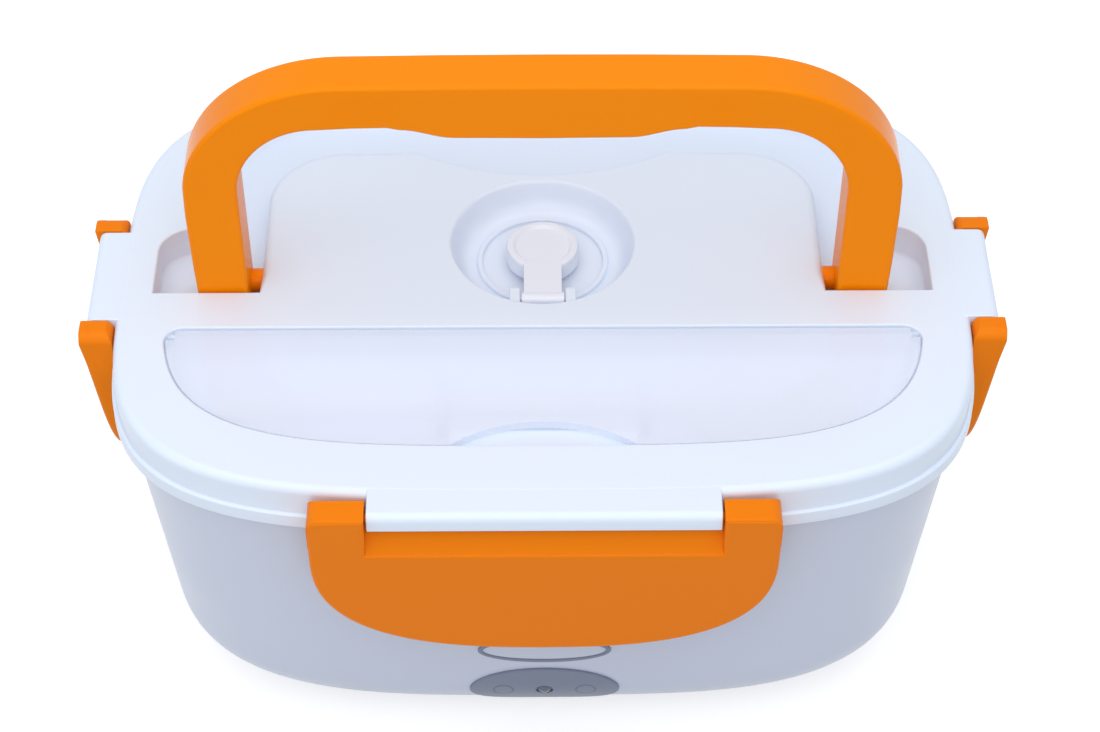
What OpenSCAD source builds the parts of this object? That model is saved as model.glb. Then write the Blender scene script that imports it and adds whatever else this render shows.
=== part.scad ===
// Electric lunch box: a drafted oval body with a heated chamber, and a flat
// clip-on lid with a folding carry handle, a steam vent and a cutlery recess.
// Origin: centre of the footprint on the table. +Z up, the front faces -Y.

/* [Body] */
// Width of the body across its rim
body_w = 219; // [205:1:235]
// Depth of the body across its rim
body_d = 156.8; // [148:0.2:175]
// Height of the body from its base to its rim
body_h = 90.4; // [88:0.2:110]
// How far the wall leans in from the rim to the base, on each side
body_draft = 9; // [6:0.5:11]
// Radius of the round where the wall turns into the base
base_round = 23; // [16:0.5:25]
// Squareness of the outline at the rim (superellipse exponent)
rim_square = 3.8; // [3.2:0.1:4.6]
// Squareness of the outline at the base (superellipse exponent)
base_square = 3.5; // [3:0.1:4.2]
// Thickness of the outer shell's wall
shell_wall = 2.4; // [1.8:0.1:3]
// Thickness of the outer shell's floor
shell_floor = 4.5; // [4:0.1:6]
// How far the catch ribs for the clips stand out from the body's wall line
catch_reach = 3.4; // [2.6:0.1:3.6]

/* [Base] */
// Height that the feet lift the body off the table
foot_h = 2; // [1:0.5:4]
// Diameter of a foot
foot_d = 13; // [8:0.5:14]
// Thickness of the bottom cover
cover_t = 2.1; // [1.5:0.1:2.5]
// Width of the flat rim that the base keeps round the bottom cover
cover_inset = 3; // [2:0.5:5]
// Width of the ledge that the bottom cover is screwed to
cover_ledge = 8.5; // [7:0.5:10]
// Diameter of a screw's shank
screw_d = 2.6; // [2:0.1:3]
// Diameter of a screw's head
screw_head_d = 5; // [4:0.5:6]

/* [Chamber] */
// Height of the chamber's floor above the base, with the electrics under it
chamber_up = 24; // [23:0.5:32]
// Gap between the shell's inner face and the chamber's wall at the top
chamber_gap = 8.5; // [8:0.5:12]
// How far the chamber's wall leans in from its flange to its floor
chamber_draft = 5.5; // [3:0.5:8]
// Thickness of the chamber liner
liner_t = 1.8; // [1.2:0.1:2.4]
// Depth of the liner's flange below the body's rim
flange_drop = 3.7; // [3:0.1:5]
// Squareness of the chamber's outline
chamber_square = 3.6; // [3:0.1:4.2]
// Radius of the round between the chamber's wall and floor
chamber_round = 12; // [6:0.5:14]

/* [Heater] */
// Diameter of the heating plate
plate_d = 92; // [70:1:100]
// Thickness of the heating plate's rim
plate_t = 1.4; // [1:0.1:2]
// Length of the heating element
element_l = 56; // [40:1:60]
// Width of the heating element
element_w = 24; // [16:1:28]
// Thickness of the heating element
element_t = 6; // [4:0.5:7]
// Diameter of the thermostat
thermostat_d = 15; // [12:0.5:16]

/* [Food container] */
// Thickness of the container's wall
pan_wall = 1.6; // [1.2:0.1:2.2]
// Gap between the container and the chamber's wall
pan_gap = 0.8; // [0.5:0.1:1.5]
// Thickness of the container's rim
pan_rim_t = 1.4; // [1:0.1:1.8]
// Width of the side dish box
dish_w = 60; // [50:1:74]
// Food room between the side dish box and the container's front and back rim
dish_end_gap = 22; // [18:0.1:30]
// Food room between the side dish box and the container's right rim
dish_side_gap = 28.4; // [17:0.1:34]
// Height of the side dish box without its lid
dish_h = 34; // [20:1:42]
// Wall of the side dish box
dish_wall = 1.4; // [1:0.1:2]

/* [Lid] */
// How far the lid's skirt stands out over the body's rim, all round
lid_over = 2; // [1.5:0.1:2.5]
// Height of the lid from its lip to its top
lid_h = 13; // [12.4:0.2:16]
// Squareness of the lid's outline (superellipse exponent)
lid_square = 3.8; // [3.3:0.1:4.6]
// Wall of the lid's skirt
lid_wall = 2.4; // [1.8:0.1:2.8]
// Thickness of the lid's top
lid_top_t = 2.2; // [2:0.1:2.6]
// Radius of the lid's top edge
lid_round = 2.2; // [1:0.1:3.5]
// How far the lip stands out from the skirt
lip_out = 1; // [0.6:0.1:1.4]
// Height of the lip
lip_h = 4.2; // [2:0.1:5]
// Wall of the recesses under the lid's top
recess_wall = 1.6; // [1.2:0.1:1.8]

/* [Cutlery recess] */
// Width of the lid's top between its side edge and the cutlery recess
recess_side = 12.7; // [12.5:0.1:20]
// Width of the lid's top between its front edge and the cutlery recess
recess_lip = 16.9; // [15.5:0.1:22]
// Where the straight back edge of the recess lies in front of the middle
recess_back = 20.5; // [20:0.5:26]
// Depth of the cutlery recess
recess_deep = 9.9; // [8:0.1:9.9]
// Thickness of the clear cutlery cover
glaze_t = 2.2; // [1.8:0.1:2.3]
// Radius of the thumb cut-out in the cutlery cover
thumb_r = 38; // [30:1:45]

/* [Steam vent] */
// Radius of the vent dish at the lid's top
dish_r = 24.5; // [20:0.5:25]
// Depth of the vent dish
vent_deep = 8; // [7:0.1:8.5]
// How far the vent dish lies behind the lid's middle
vent_y = 13; // [12:0.5:14]
// Radius of the vent cap
cap_r = 9.7; // [8:0.1:11]

/* [Handle] */
// Half width of the handle outside its legs
handle_hw = 91.9; // [88:0.1:93]
// Width of a leg, seen from the front
leg_w = 14; // [12:0.5:15]
// Height of the handle above its pivot
handle_h = 72; // [64:0.5:72]
// Height of the grip bar near the handle's corners
bar_h = 13.6; // [12:0.1:15]
// How much thicker the bar is at its middle
bar_belly = 2.6; // [0:0.1:3]
// Thickness of the handle, front to back
handle_t = 13.9; // [12:0.1:14]
// Height of the pivot below the lid's top
pivot_drop = 4.8; // [4.8:0.1:5.2]
// How far the folded handle stays inside the lid's back edge
fold_margin = 5.4; // [5:0.1:7]
// Distance of the pivot from the handle's back face
pivot_back = 4.4; // [4:0.1:5]
// Radius of the handle's pivot stubs
stub_r = 3.2; // [2.5:0.1:3.2]
// Half width of the raised middle that the handle folds round
plateau_hw = 74.5; // [70:0.5:75]
// Finger room between the folded grip bar and the raised middle
finger_gap = 7.8; // [6:0.2:9]
// Half width of the finger scoop at the back of the raised middle
scoop_hw = 35; // [25:1:45]
// Depth of the finger scoop
scoop_sag = 10; // [6:0.5:12]
// Depth of the channel that the handle folds into
channel_deep = 9.5; // [9.2:0.1:9.7]

/* [Clips] */
// Half length of the front and back clips
clip_hl = 58; // [50:1:60]
// Half length of the lid's tongue inside them
tongue_hl = 43.4; // [38:0.2:45]
// Height of the front and back clips
clip_h = 49; // [40:1:52]
// Half length of the side clips
side_hl = 24; // [22:0.5:30]
// Half length of the lid's tongue inside the side clips
side_tongue_hl = 14; // [12:0.5:16]
// Height of the side clips
side_h = 42; // [36:1:48]
// How far a clip stands out from the lid's skirt
clip_out = 9.6; // [9:0.1:11]
// Wall of a clip's shell
clip_wall = 2.6; // [2:0.1:3]
// Depth of a clip's rim, front face to back edge
clip_deep = 7; // [6:0.1:7.2]
// Radius of a clip's hinge pins
clip_pin_r = 1.1; // [0.9:0.1:1.2]

/* [Power inlet] */
// Height of the inlet's middle above the base
inlet_up = 20; // [18:1:22]
// Spacing of the inlet's two pins
pin_pitch = 8.6; // [7:0.1:10]
// Radius of an inlet pin
pin_r = 1.2; // [1:0.1:1.3]
// Depth of the inlet's socket
socket_deep = 11; // [8:0.5:12]

/* [Indicator] */
// Half width of the indicator panel
panel_hw = 20; // [14:0.5:24]
// Half height of the indicator panel
panel_hh = 10; // [6:0.5:11]
// Height of the panel's middle above the base
panel_up = 18.5; // [16:0.5:24]

/* [Clearances] */
// Gap between pieces that move past each other
run_gap = 0.35; // [0.3:0.05:0.5]
// Gap round a piece that is dropped into its seat
seat_gap = 0.15; // [0.1:0.05:0.25]
// Radial clearance of a hinge pin in its bore
pin_gap = 0.05; // [0.03:0.01:0.09]

/* [Hidden] */

// Facets round a large outline, round an inner outline, and of a turned part
big_seg = 96;
inner_seg = 64;
$fn = 48;
// Overlap that joins or cuts through cleanly
eps = 0.1;

// Heights above the table
base_z = foot_h;
rim_z = base_z + body_h;
lid_gap = 0.6;
lip_z = rim_z + lid_gap;
lid_z = lip_z + lid_h;
lid_w = body_w + 2 * lid_over;
lid_d = body_d + 2 * lid_over;
flange_z = rim_z - flange_drop;
flange_under_z = flange_z - liner_t;
chamber_z = base_z + chamber_up;

// Colours
white = [0.90, 0.92, 0.96];
orange = [0.98, 0.52, 0.09];
grey = [0.50, 0.54, 0.60];
metal = [0.75, 0.76, 0.78];
dark = [0.15, 0.15, 0.16];

// ---------------------------------------------------------------- outlines

// Superellipse with half axes a and b and exponent n, anticlockwise
function squircle(a, b, n, seg = big_seg) = [for (i = [0 : seg - 1])
    let (t = 360 * i / seg, c = cos(t), s = sin(t))
    [a * sign(c) * pow(abs(c), 2 / n), b * sign(s) * pow(abs(s), 2 / n)]];

// Points of a quarter turn round c with radii rx and ry, from angle a0 to a1
function arc(c, rx, ry, a0, a1, steps = 10) = [for (i = [0 : steps])
    let (t = a0 + (a1 - a0) * i / steps) [c.x + rx * cos(t), c.y + ry * sin(t)]];

// Rectangle from p0 to p1 with all corners rounded by r
function round_rect(p0, p1, r) = concat(
    arc([p1.x - r, p0.y + r], r, r, -90, 0, 6), arc([p1.x - r, p1.y - r], r, r, 0, 90, 6),
    arc([p0.x + r, p1.y - r], r, r, 90, 180, 6), arc([p0.x + r, p0.y + r], r, r, 180, 270, 6));

function at_z(points, z) = [for (p = points) [p.x, p.y, z]];

// Skin over a list of rings that all have the same number of points
module loft(rings) {
    n = len(rings[0]);
    m = len(rings);
    polyhedron(points = [for (r = rings) each r], convexity = 8, faces = concat(
        [[for (i = [0 : n - 1]) i]],
        [for (k = [0 : m - 2]) for (i = [0 : n - 1]) let (j = (i + 1) % n)
            [k * n + i, (k + 1) * n + i, (k + 1) * n + j, k * n + j]],
        [[for (i = [0 : n - 1]) (m - 1) * n + n - 1 - i]]));
}

// Plate with outline p between two heights
module plate(p, z0, z1) {
    translate([0, 0, z0]) linear_extrude(z1 - z0) polygon(p);
}

// Ring plate between an outer and an inner outline
module ring_plate(outer, inner, z0, z1) {
    translate([0, 0, z0]) linear_extrude(z1 - z0) difference() {
        polygon(outer);
        polygon(inner);
    }
}

// Copies its child at the four corners of a rectangle
module four(x, y) {
    for (sx = [-1, 1]) for (sy = [-1, 1]) translate([sx * x, sy * y, 0]) children();
}

// Copies its child to both sides of the middle
module pair_x() {
    children();
    mirror([1, 0, 0]) children();
}

// Profile in the Y-Z plane, drawn along X from -half to half
module along_x(half) {
    rotate([90, 0, 90]) translate([0, 0, -half]) linear_extrude(2 * half) children();
}

// Round bar along X from x0 to x1 at height z and depth y
module bar_x(r, x0, x1, y, z) {
    translate([x0, y, z]) rotate([0, 90, 0]) cylinder(r = r, h = x1 - x0);
}

// Round bar along Y from y0 to y1
module bar_y(r, y0, y1, x, z) {
    translate([x, y0, z]) rotate([-90, 0, 0]) cylinder(r = r, h = y1 - y0);
}

// ---------------------------------------------------------------- body form

function body_square(h) = base_square + (rim_square - base_square) * h / body_h;
function lean(h) = body_draft * (1 - h / body_h);
// How much further in the base round is at height h, for a face d inside the wall
function tuck(h, d) = h >= base_round ? 0
    : (base_round - d) - sqrt(max(0, pow(base_round - d, 2) - pow(base_round - h, 2)));
function body_a(h, d) = body_w / 2 - lean(h) - d - tuck(h, d);
function body_b(h, d) = body_d / 2 - lean(h) - d - tuck(h, d);
function body_ring(h, d) =
    at_z(squircle(body_a(h, d), body_b(h, d), body_square(h)), base_z + h);

// Y of the body's front face at x and height h above the base
function front_y(x, h) = -body_b(h, 0)
    * pow(1 - pow(abs(x) / body_a(h, 0), body_square(h)), 1 / body_square(h));

// Oval patch that follows the body's front face, from depth d0 to d1 along Y
module front_patch(hw, hh, d0, d1, loops = 5, seg = 36) {
    function patch_point(r, i) = let (x = hw * r * cos(360 * i / seg),
        h = panel_up + hh * r * sin(360 * i / seg)) [x, front_y(x, h), base_z + h];
    function patch_ring(r, d) = [for (i = [0 : seg - 1])
        let (p = patch_point(r, seg - i)) [p.x, p.y + d, p.z]];
    small = 0.02;
    loft(concat([for (k = [0 : loops]) patch_ring(small + (1 - small) * k / loops, d0)],
        [for (k = [loops : -1 : 0]) patch_ring(small + (1 - small) * k / loops, d1)]));
}

// ---------------------------------------------------------------- base

cover_a = body_a(0, 0) - cover_inset;
cover_b = body_b(0, 0) - cover_inset;
foot_x = cover_a - 16.5;
foot_y = cover_b - 15.5;
base_screw_x = 0.48 * cover_a;
base_screw_y = cover_b - 4.8;
boss_d = 7.2;
boss_h = 10;
shank_l = 9;
head_t = 1.6;
pilot_d = screw_d - 0.4;
ledge_hw = body_a(flange_under_z - base_z, shell_wall) - chamber_gap + 4;
ledge_hd = body_b(flange_under_z - base_z, shell_wall) - chamber_gap + 4;

// Pad on the back wall that carries the power inlet
inlet_z = base_z + inlet_up;
pad_hw = 20;
pad_hh = 11.5;
pad_y = body_b(inlet_up + pad_hh, 0) + 0.8;
pad_root_y = body_b(inlet_up - pad_hh, 0) - 1;
socket_hw = 8.6;
socket_r = 4.3;
house_hw = 11;
house_hh = 7.5;
inlet_flange_t = 2;
inlet_flange_hw = 17.5;
inlet_flange_hh = 8.5;
inlet_screw_x = 14;

// Clip catch, seen from the end: u runs outwards from the lid's skirt line
catch_slope = 65;
catch_low_z = rim_z - 4;
catch_root = -4.4;
catch_tip = catch_reach - lid_over - 0.6;

module catch_rib(skirt, half) {
    drop = (catch_tip - catch_root) * tan(catch_slope);
    along_x(half) polygon([for (p = [[catch_root, catch_low_z - drop], [catch_tip, catch_low_z],
        [catch_tip, catch_low_z + 0.8], [catch_root + 1.6, rim_z - 0.9], [catch_root, rim_z - 0.9]])
        [-skirt - p[0], p[1]]]);
}

module four_clip_places(front, side) {
    for (a = [0, 180]) rotate([0, 0, a]) children(0);
    for (a = [90, 270]) rotate([0, 0, a]) children(1);
}

module outer_shell() {
    round_h = [for (k = [0 : 6]) base_round * (1 - cos(15 * k))];
    outer = [for (h = concat(round_h, [body_h / 2, body_h])) body_ring(h, 0)];
    inner = [for (h = [body_h, body_h / 2,
            for (k = [4 : -1 : 0]) shell_floor + (base_round - shell_floor) * k / 4])
        body_ring(h, shell_wall)];
    ledge = body_ring(body_h - flange_drop - liner_t - 3, 1);
    color(white) difference() {
        union() {
            loft(concat(outer, inner));
            // Ledge that carries the chamber liner's flange
            ring_plate([for (p = ledge) [p.x, p.y]],
                squircle(ledge_hw, ledge_hd, chamber_square, big_seg),
                flange_under_z - 2, flange_under_z);
            // Catch ribs for the clips
            four_clip_places() {
                catch_rib(lid_d / 2, clip_hl - 9);
                catch_rib(lid_w / 2, side_hl - 7);
            }
            // Screw bosses on the floor's ledge
            four(base_screw_x, base_screw_y)
                translate([0, 0, base_z + shell_floor - eps]) cylinder(d = boss_d, h = boss_h);
            // Pegs behind the front wall that the light's board rests on
            for (s = [-1, 1]) bar_y(1.8, front_y(0, panel_up) + 1, light_back_y,
                s * board_peg_x, base_z + panel_up + board_peg_up);
            // Flat pad for the inlet
            difference() {
                translate([0, pad_root_y, inlet_z]) rotate([-90, 0, 0]) linear_extrude(pad_y - pad_root_y)
                    polygon(round_rect([-pad_hw, -pad_hh], [pad_hw, pad_hh], 4));
                loft([for (h = [0, 4, 8, 12, 16, 20, base_round, body_h / 2])
                    body_ring(h, shell_wall / 2)]);
            }
        }
        // Pocket for the bottom cover, and the opening above it
        plate(squircle(cover_a + seat_gap, cover_b + seat_gap, base_square),
            base_z - 1, base_z + cover_t);
        plate(squircle(cover_a - cover_ledge, cover_b - cover_ledge, base_square, inner_seg),
            base_z, base_z + shell_floor + eps);
        four(base_screw_x, base_screw_y) translate([0, 0, base_z])
            cylinder(d = pilot_d, h = shell_floor + shank_l - cover_t);
        // Inlet opening and its screw holes
        translate([-house_hw - seat_gap, pad_y - 25, inlet_z - house_hh - seat_gap])
            cube([2 * (house_hw + seat_gap), 30, 2 * (house_hh + seat_gap)]);
        for (s = [-1, 1]) bar_y(pilot_d / 2, pad_y - 8, pad_y + 1, s * inlet_screw_x, inlet_z);
        // Shallow seat of the indicator panel, and the hole for its light
        front_patch(panel_hw + seat_gap, panel_hh + seat_gap, -2, 1);
        bar_y(light_r + seat_gap, front_y(0, panel_up) - 1, front_y(0, panel_up) + 6,
            0, base_z + panel_up);
    }
}

module bottom_cover() {
    slot_l = 22;
    slot_w = 2.4;
    color(white) difference() {
        plate(squircle(cover_a, cover_b, base_square), base_z, base_z + cover_t);
        four(base_screw_x, base_screw_y) translate([0, 0, base_z - eps]) {
            cylinder(d = screw_d + 0.5, h = cover_t + 1);
            cylinder(d = screw_head_d + 0.4, h = head_t - 0.6 + eps);
        }
        // Vent slots under the electrics
        for (x = [-20, 20]) for (k = [-3 : 3])
            plate(round_rect([x - slot_l / 2, 5 * k - slot_w / 2],
                [x + slot_l / 2, 5 * k + slot_w / 2], slot_w / 2.1), base_z - eps, base_z + 5);
    }
}

module foot_pads() {
    color(dark) four(foot_x, foot_y)
        rotate_extrude() polygon([[0, 0], [foot_d / 2 - 1, 0], [foot_d / 2, foot_h / 2],
            [foot_d / 2, foot_h], [0, foot_h]]);
}

// Screw with its head's top at z = 0, pointing up
module screw(shank) {
    rotate_extrude() polygon([[0, 0.5], [0.8, 0], [screw_head_d / 2 - 0.5, 0],
        [screw_head_d / 2, 0.5], [screw_head_d / 2, head_t], [pilot_d / 2, head_t],
        [pilot_d / 2, shank - 1], [0.3, shank], [0, shank]]);
}

module bottom_screws() {
    color(metal) four(base_screw_x, base_screw_y)
        translate([0, 0, base_z - 0.6]) screw(shank_l + 1);
}

// ---------------------------------------------------------------- chamber

flange_h = flange_z - base_z;
flange_a = body_a(flange_h - liner_t, shell_wall) - run_gap;
flange_b = body_b(flange_h - liner_t, shell_wall) - run_gap;
chamber_a = body_a(flange_h, shell_wall) - chamber_gap;
chamber_b = body_b(flange_h, shell_wall) - chamber_gap;

// Rings of a drafted pan, from its floor up to z1: a and b are half axes at z1
function pan_rings(a, b, z0, z1, draft, r, seg = inner_seg) = [for (k = [0 : 5])
    let (t = k < 5 ? 22.5 * k : 90, z = k < 5 ? z0 + r * (1 - cos(t)) : z1,
        d = draft * (z1 - z) / (z1 - z0) + (k < 5 ? r * (1 - sin(t)) : 0))
    at_z(squircle(a - d, b - d, chamber_square, seg), z)];

function backwards(list) = [for (k = [len(list) - 1 : -1 : 0]) list[k]];

plate_hole_r = plate_d / 2 - 6;
liner_floor_z = chamber_z - liner_t;

module chamber_liner() {
    outer = pan_rings(chamber_a + liner_t, chamber_b + liner_t, liner_floor_z,
        flange_under_z, chamber_draft, chamber_round + liner_t);
    inner = pan_rings(chamber_a, chamber_b, chamber_z, flange_z, chamber_draft, chamber_round);
    rim = squircle(flange_a, flange_b, rim_square, inner_seg);
    color([0.80, 0.82, 0.85]) difference() {
        union() {
            loft(concat(outer, [at_z(rim, flange_under_z), at_z(rim, flange_z)],
                backwards(inner)));
            // Posts that the heater clamp is screwed to
            for (s = [-1, 1]) translate([s * clamp_screw_x, 0, clamp_z + clamp_t])
                cylinder(d = 8, h = liner_floor_z - clamp_z - clamp_t + eps);
        }
        translate([0, 0, liner_floor_z - 1]) cylinder(r = plate_hole_r, h = liner_t + 2);
        for (s = [-1, 1]) translate([s * clamp_screw_x, 0, clamp_z])
            cylinder(d = pilot_d, h = liner_floor_z - clamp_z + 1);
    }
}

// ---------------------------------------------------------------- heater

plate_z = chamber_z;
plate_boss_t = 3.2;
tab_y = 9;
element_z = plate_z - plate_boss_t - element_t;
clamp_t = 1.2;
clamp_z = element_z - clamp_t;
clamp_screw_x = plate_hole_r + 8;

module heater_plate() {
    r = plate_d / 2;
    color(metal) translate([0, 0, plate_z]) rotate_extrude($fn = 72)
        polygon([[0, -plate_boss_t], [plate_hole_r - 2, -plate_boss_t],
            [plate_hole_r - seat_gap, -plate_boss_t + 1.5], [plate_hole_r - seat_gap, 0],
            [r, 0], [r, plate_t - 0.5], [r - 0.8, plate_t], [0, plate_t]]);
}

module heating_element() {
    color([0.85, 0.83, 0.78]) {
        plate(round_rect([-element_l / 2, -element_w / 2], [element_l / 2, element_w / 2], 2),
            element_z, element_z + element_t);
        // Terminal tabs
        for (s = [-1, 1]) translate([s * (element_l / 2 + 3 - eps) - 3, tab_y - 2, element_z + 2])
            cube([6, 4, 0.8]);
    }
}

module heater_clamp() {
    color(metal) difference() {
        plate(round_rect([-clamp_screw_x - 5, -6], [clamp_screw_x + 5, 6], 2.5),
            clamp_z, clamp_z + clamp_t);
        for (s = [-1, 1]) translate([s * clamp_screw_x, 0, clamp_z - eps])
            cylinder(d = screw_d + 0.4, h = clamp_t + 1);
        // Stiffening slots
        for (s = [-1, 1]) plate(round_rect([s * 15 - 7, -1.2], [s * 15 + 7, 1.2], 1.1),
            clamp_z - eps, clamp_z + clamp_t + eps);
    }
}

module clamp_screws() {
    color(metal) for (s = [-1, 1]) translate([s * clamp_screw_x, 0, clamp_z - head_t])
        screw(7);
}

thermostat_y = -element_w / 2 - thermostat_d / 2 - 2.5;

module thermostat() {
    top = plate_z - plate_boss_t;
    color(dark) translate([0, thermostat_y, 0]) {
        translate([0, 0, top - 5]) cylinder(d = thermostat_d, h = 5);
        for (s = [-1, 1]) translate([s * 5 - 1.6, -0.4, top - 10]) cube([3.2, 0.8, 5 + eps]);
    }
}

fuse_r = 1.8;

module thermal_fuse() {
    color([0.85, 0.78, 0.55]) bar_x(fuse_r, -7, 7, element_w / 2 + 5,
        plate_z - plate_boss_t - fuse_r - 0.05);
}

mat_t = 3;
mat_hw = plate_d / 2;
mat_hd = element_w / 2 + 5;

module insulation_pad() {
    z = base_z + cover_t;
    color([0.80, 0.76, 0.66])
        plate(round_rect([-mat_hw, -mat_hd], [mat_hw, mat_hd], 6), z, z + mat_t);
}

// ---------------------------------------------------------------- power inlet

socket_floor_y = pad_y + inlet_flange_t - socket_deep;
house_back_y = socket_floor_y - 2.5;

module power_inlet() {
    color(dark) difference() {
        union() {
            translate([0, pad_y, inlet_z]) rotate([-90, 0, 0]) linear_extrude(inlet_flange_t)
                polygon(round_rect([-inlet_flange_hw, -inlet_flange_hh],
                    [inlet_flange_hw, inlet_flange_hh], 3));
            translate([-house_hw, house_back_y, inlet_z - house_hh])
                cube([2 * house_hw, pad_y - house_back_y + eps, 2 * house_hh]);
            // Solder terminals at the back
            for (s = [-1, 1]) translate([s * pin_pitch / 2 - 1.5, house_back_y - 5, inlet_z - 0.4])
                cube([3, 5 + eps, 0.8]);
            // Ears that carry the flap's pins
            for (s = [-1, 1]) translate([s * (flap_hw + run_gap + ear_t / 2) - ear_t / 2,
                pad_y, flap_hinge_z - knuckle_r - 1.5])
                cube([ear_t, flap_axis_y - pad_y + knuckle_r, 2 * knuckle_r + 1.5]);
        }
        pair_x() bar_x(flap_pin_r + pin_gap, flap_hw - 1, flap_hw + run_gap + ear_t + 1,
            flap_axis_y, flap_hinge_z);
        translate([0, socket_floor_y, inlet_z]) rotate([-90, 0, 0])
            linear_extrude(socket_deep + 1) polygon(round_rect([-socket_hw, -socket_r],
                [socket_hw, socket_r], socket_r - 0.3));
        for (s = [-1, 1]) {
            bar_y((screw_d + 0.4) / 2, pad_y - eps, pad_y + 3, s * inlet_screw_x, inlet_z);
            bar_y((screw_head_d + 0.4) / 2, pad_y + 1, pad_y + 3, s * inlet_screw_x, inlet_z);
            // Seats of the pins
            bar_y(pin_r, socket_floor_y - 1.5, socket_floor_y + eps, s * pin_pitch / 2, inlet_z);
        }
    }
}

module inlet_pins() {
    color(metal) for (s = [-1, 1])
        translate([s * pin_pitch / 2, socket_floor_y - 1.5, inlet_z]) rotate([-90, 0, 0])
            rotate_extrude() polygon([[0, 0], [pin_r, 0], [pin_r, 10], [pin_r - 0.6, 11], [0, 11]]);
}

module inlet_screws() {
    color(metal) for (s = [-1, 1]) translate([s * inlet_screw_x, pad_y + 1 + head_t, inlet_z])
        rotate([90, 0, 0]) screw(8);
}

// Flap that covers the socket, hinged above it
flap_y = pad_y + inlet_flange_t + run_gap;
flap_t = 1.6;
flap_hw = 10;
flap_hinge_z = inlet_z + inlet_flange_hh + 0.2;
ear_t = 2.2;
flap_pin_r = 1;
knuckle_r = 1.9;
flap_axis_y = flap_y + knuckle_r - 0.1;

module inlet_cover() {
    color(white) {
        translate([-flap_hw, flap_y, inlet_z - 7]) cube([2 * flap_hw, flap_t, flap_hinge_z - inlet_z + 7]);
        bar_x(knuckle_r, -flap_hw, flap_hw, flap_axis_y, flap_hinge_z);
        bar_x(flap_pin_r, -flap_hw - ear_t, flap_hw + ear_t, flap_axis_y, flap_hinge_z);
        // Finger lip at the lower edge
        translate([-5, flap_y, inlet_z - 7]) cube([10, flap_t + 1.6, 1.4]);
    }
}

// ---------------------------------------------------------------- wiring

wire_r = 0.9;
wire_sides = 10;
wire_steps = 12;

function bezier(p, t) = let (u = 1 - t)
    u * u * u * p[0] + 3 * u * u * t * p[1] + 3 * u * t * t * p[2] + t * t * t * p[3];
function slope_of(p, t) = let (u = 1 - t)
    3 * u * u * (p[1] - p[0]) + 6 * u * t * (p[2] - p[1]) + 3 * t * t * (p[3] - p[2]);
function unit(v) = v / norm(v);

// Insulated wire that follows a cubic curve with control points p
module wire(p) {
    loft([for (k = [0 : wire_steps]) let (t = k / wire_steps, c = bezier(p, t),
        d = unit(slope_of(p, t)), side = unit(cross([0, 0, 1], d)), up = cross(d, side))
        [for (i = [0 : wire_sides - 1]) let (a = 360 * i / wire_sides)
            c + wire_r * (cos(a) * side + sin(a) * up)]]);
}

module lead_wires() {
    near = 0.1;
    tab_x = element_l / 2 + 3.5;
    under_tab = element_z + 2 - wire_r - near;
    over_tab = element_z + 2.8 + wire_r + near;
    blade_y = house_back_y - 1;
    blade_z = inlet_z - 0.4 - wire_r - near;
    board_y = light_back_y + board_t + 0.4;
    for (s = [-1, 1]) {
        // From the inlet to the element
        color([0.75, 0.15, 0.12]) wire([[s * pin_pitch / 2, blade_y, blade_z],
            [s * pin_pitch / 2, 40, 11], [s * tab_x, 28, 11], [s * tab_x, tab_y - 1.5, under_tab]]);
        // From the element to the light's board
        color([0.2, 0.3, 0.7]) wire([[s * (tab_x - 1), tab_y, over_tab],
            [s * 106, 14, over_tab - 0.5], [s * 5, -36, 12], [s * 5, board_y, base_z + panel_up]]);
    }
}

// ---------------------------------------------------------------- indicator

light_r = 2.2;
board_peg_x = 6.5;
board_peg_up = 6.5;

module indicator_panel() {
    color(grey) difference() {
        front_patch(panel_hw, panel_hh, -0.3, 0.8);
        bar_y(light_r + seat_gap, front_y(0, panel_up) - 2, front_y(0, panel_up) + 3,
            0, base_z + panel_up);
    }
}

light_back_y = front_y(0, panel_up) + 7;
board_t = 1.6;

module indicator_light() {
    color([0.9, 0.25, 0.2]) translate([0, front_y(0, panel_up) - 0.8, base_z + panel_up])
        rotate([-90, 0, 0]) rotate_extrude() polygon([[0, 0], [1, 0.1], [1.7, 0.5],
            [light_r, 1.2], [light_r, 5], [light_r + 0.5, 5], [light_r + 0.5, 7.8], [0, 7.8]]);
}

module indicator_board() {
    color([0.1, 0.4, 0.2]) translate([-9, light_back_y, base_z + panel_up - 5])
        cube([18, board_t, 14]);
}

// ---------------------------------------------------------------- lid

lid_a = lid_w / 2;
lid_b = lid_d / 2;
function lid_outline(d, seg = big_seg) = squircle(lid_a + d, lid_b + d, lid_square, seg);

recess_hw = lid_a - recess_side;
recess_front = lid_b - recess_lip;
pivot_y = lid_b - fold_margin - handle_h;
pivot_z = lid_z - pivot_drop;
channel_z = lid_z - channel_deep;
recess_z = lid_z - recess_deep;
inner_top_z = recess_z - recess_wall;
dish_z = lid_z - vent_deep;
glaze_top_z = lid_z - 0.4;
glaze_z = glaze_top_z - glaze_t;

// Large corner of the handle: half axes of its quarter ellipse
corner_x = 41.9;
corner_z = 35.1;
leg_front_y = pivot_y + pivot_back - handle_t;

// Outline of the folded handle grown by d, closed in front at y0
function fold_outline(d, y0) =
    let (cx = handle_hw - corner_x, cy = pivot_y + handle_h - corner_z)
    concat([[handle_hw + d, y0]],
        arc([cx, cy], corner_x + d, corner_z + d, 0, 90, 18),
        arc([-cx, cy], corner_x + d, corner_z + d, 90, 180, 18),
        [[-handle_hw - d, y0]]);

pocket_front = leg_front_y - run_gap;
pocket_back = pivot_y + 15.5;
pocket_hw = lid_a - 9;
plateau_back = lid_b - fold_margin - bar_h - bar_belly - finger_gap;
plateau_r = 20;
scoop_r = (scoop_hw * scoop_hw + scoop_sag * scoop_sag) / (2 * scoop_sag);

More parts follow.
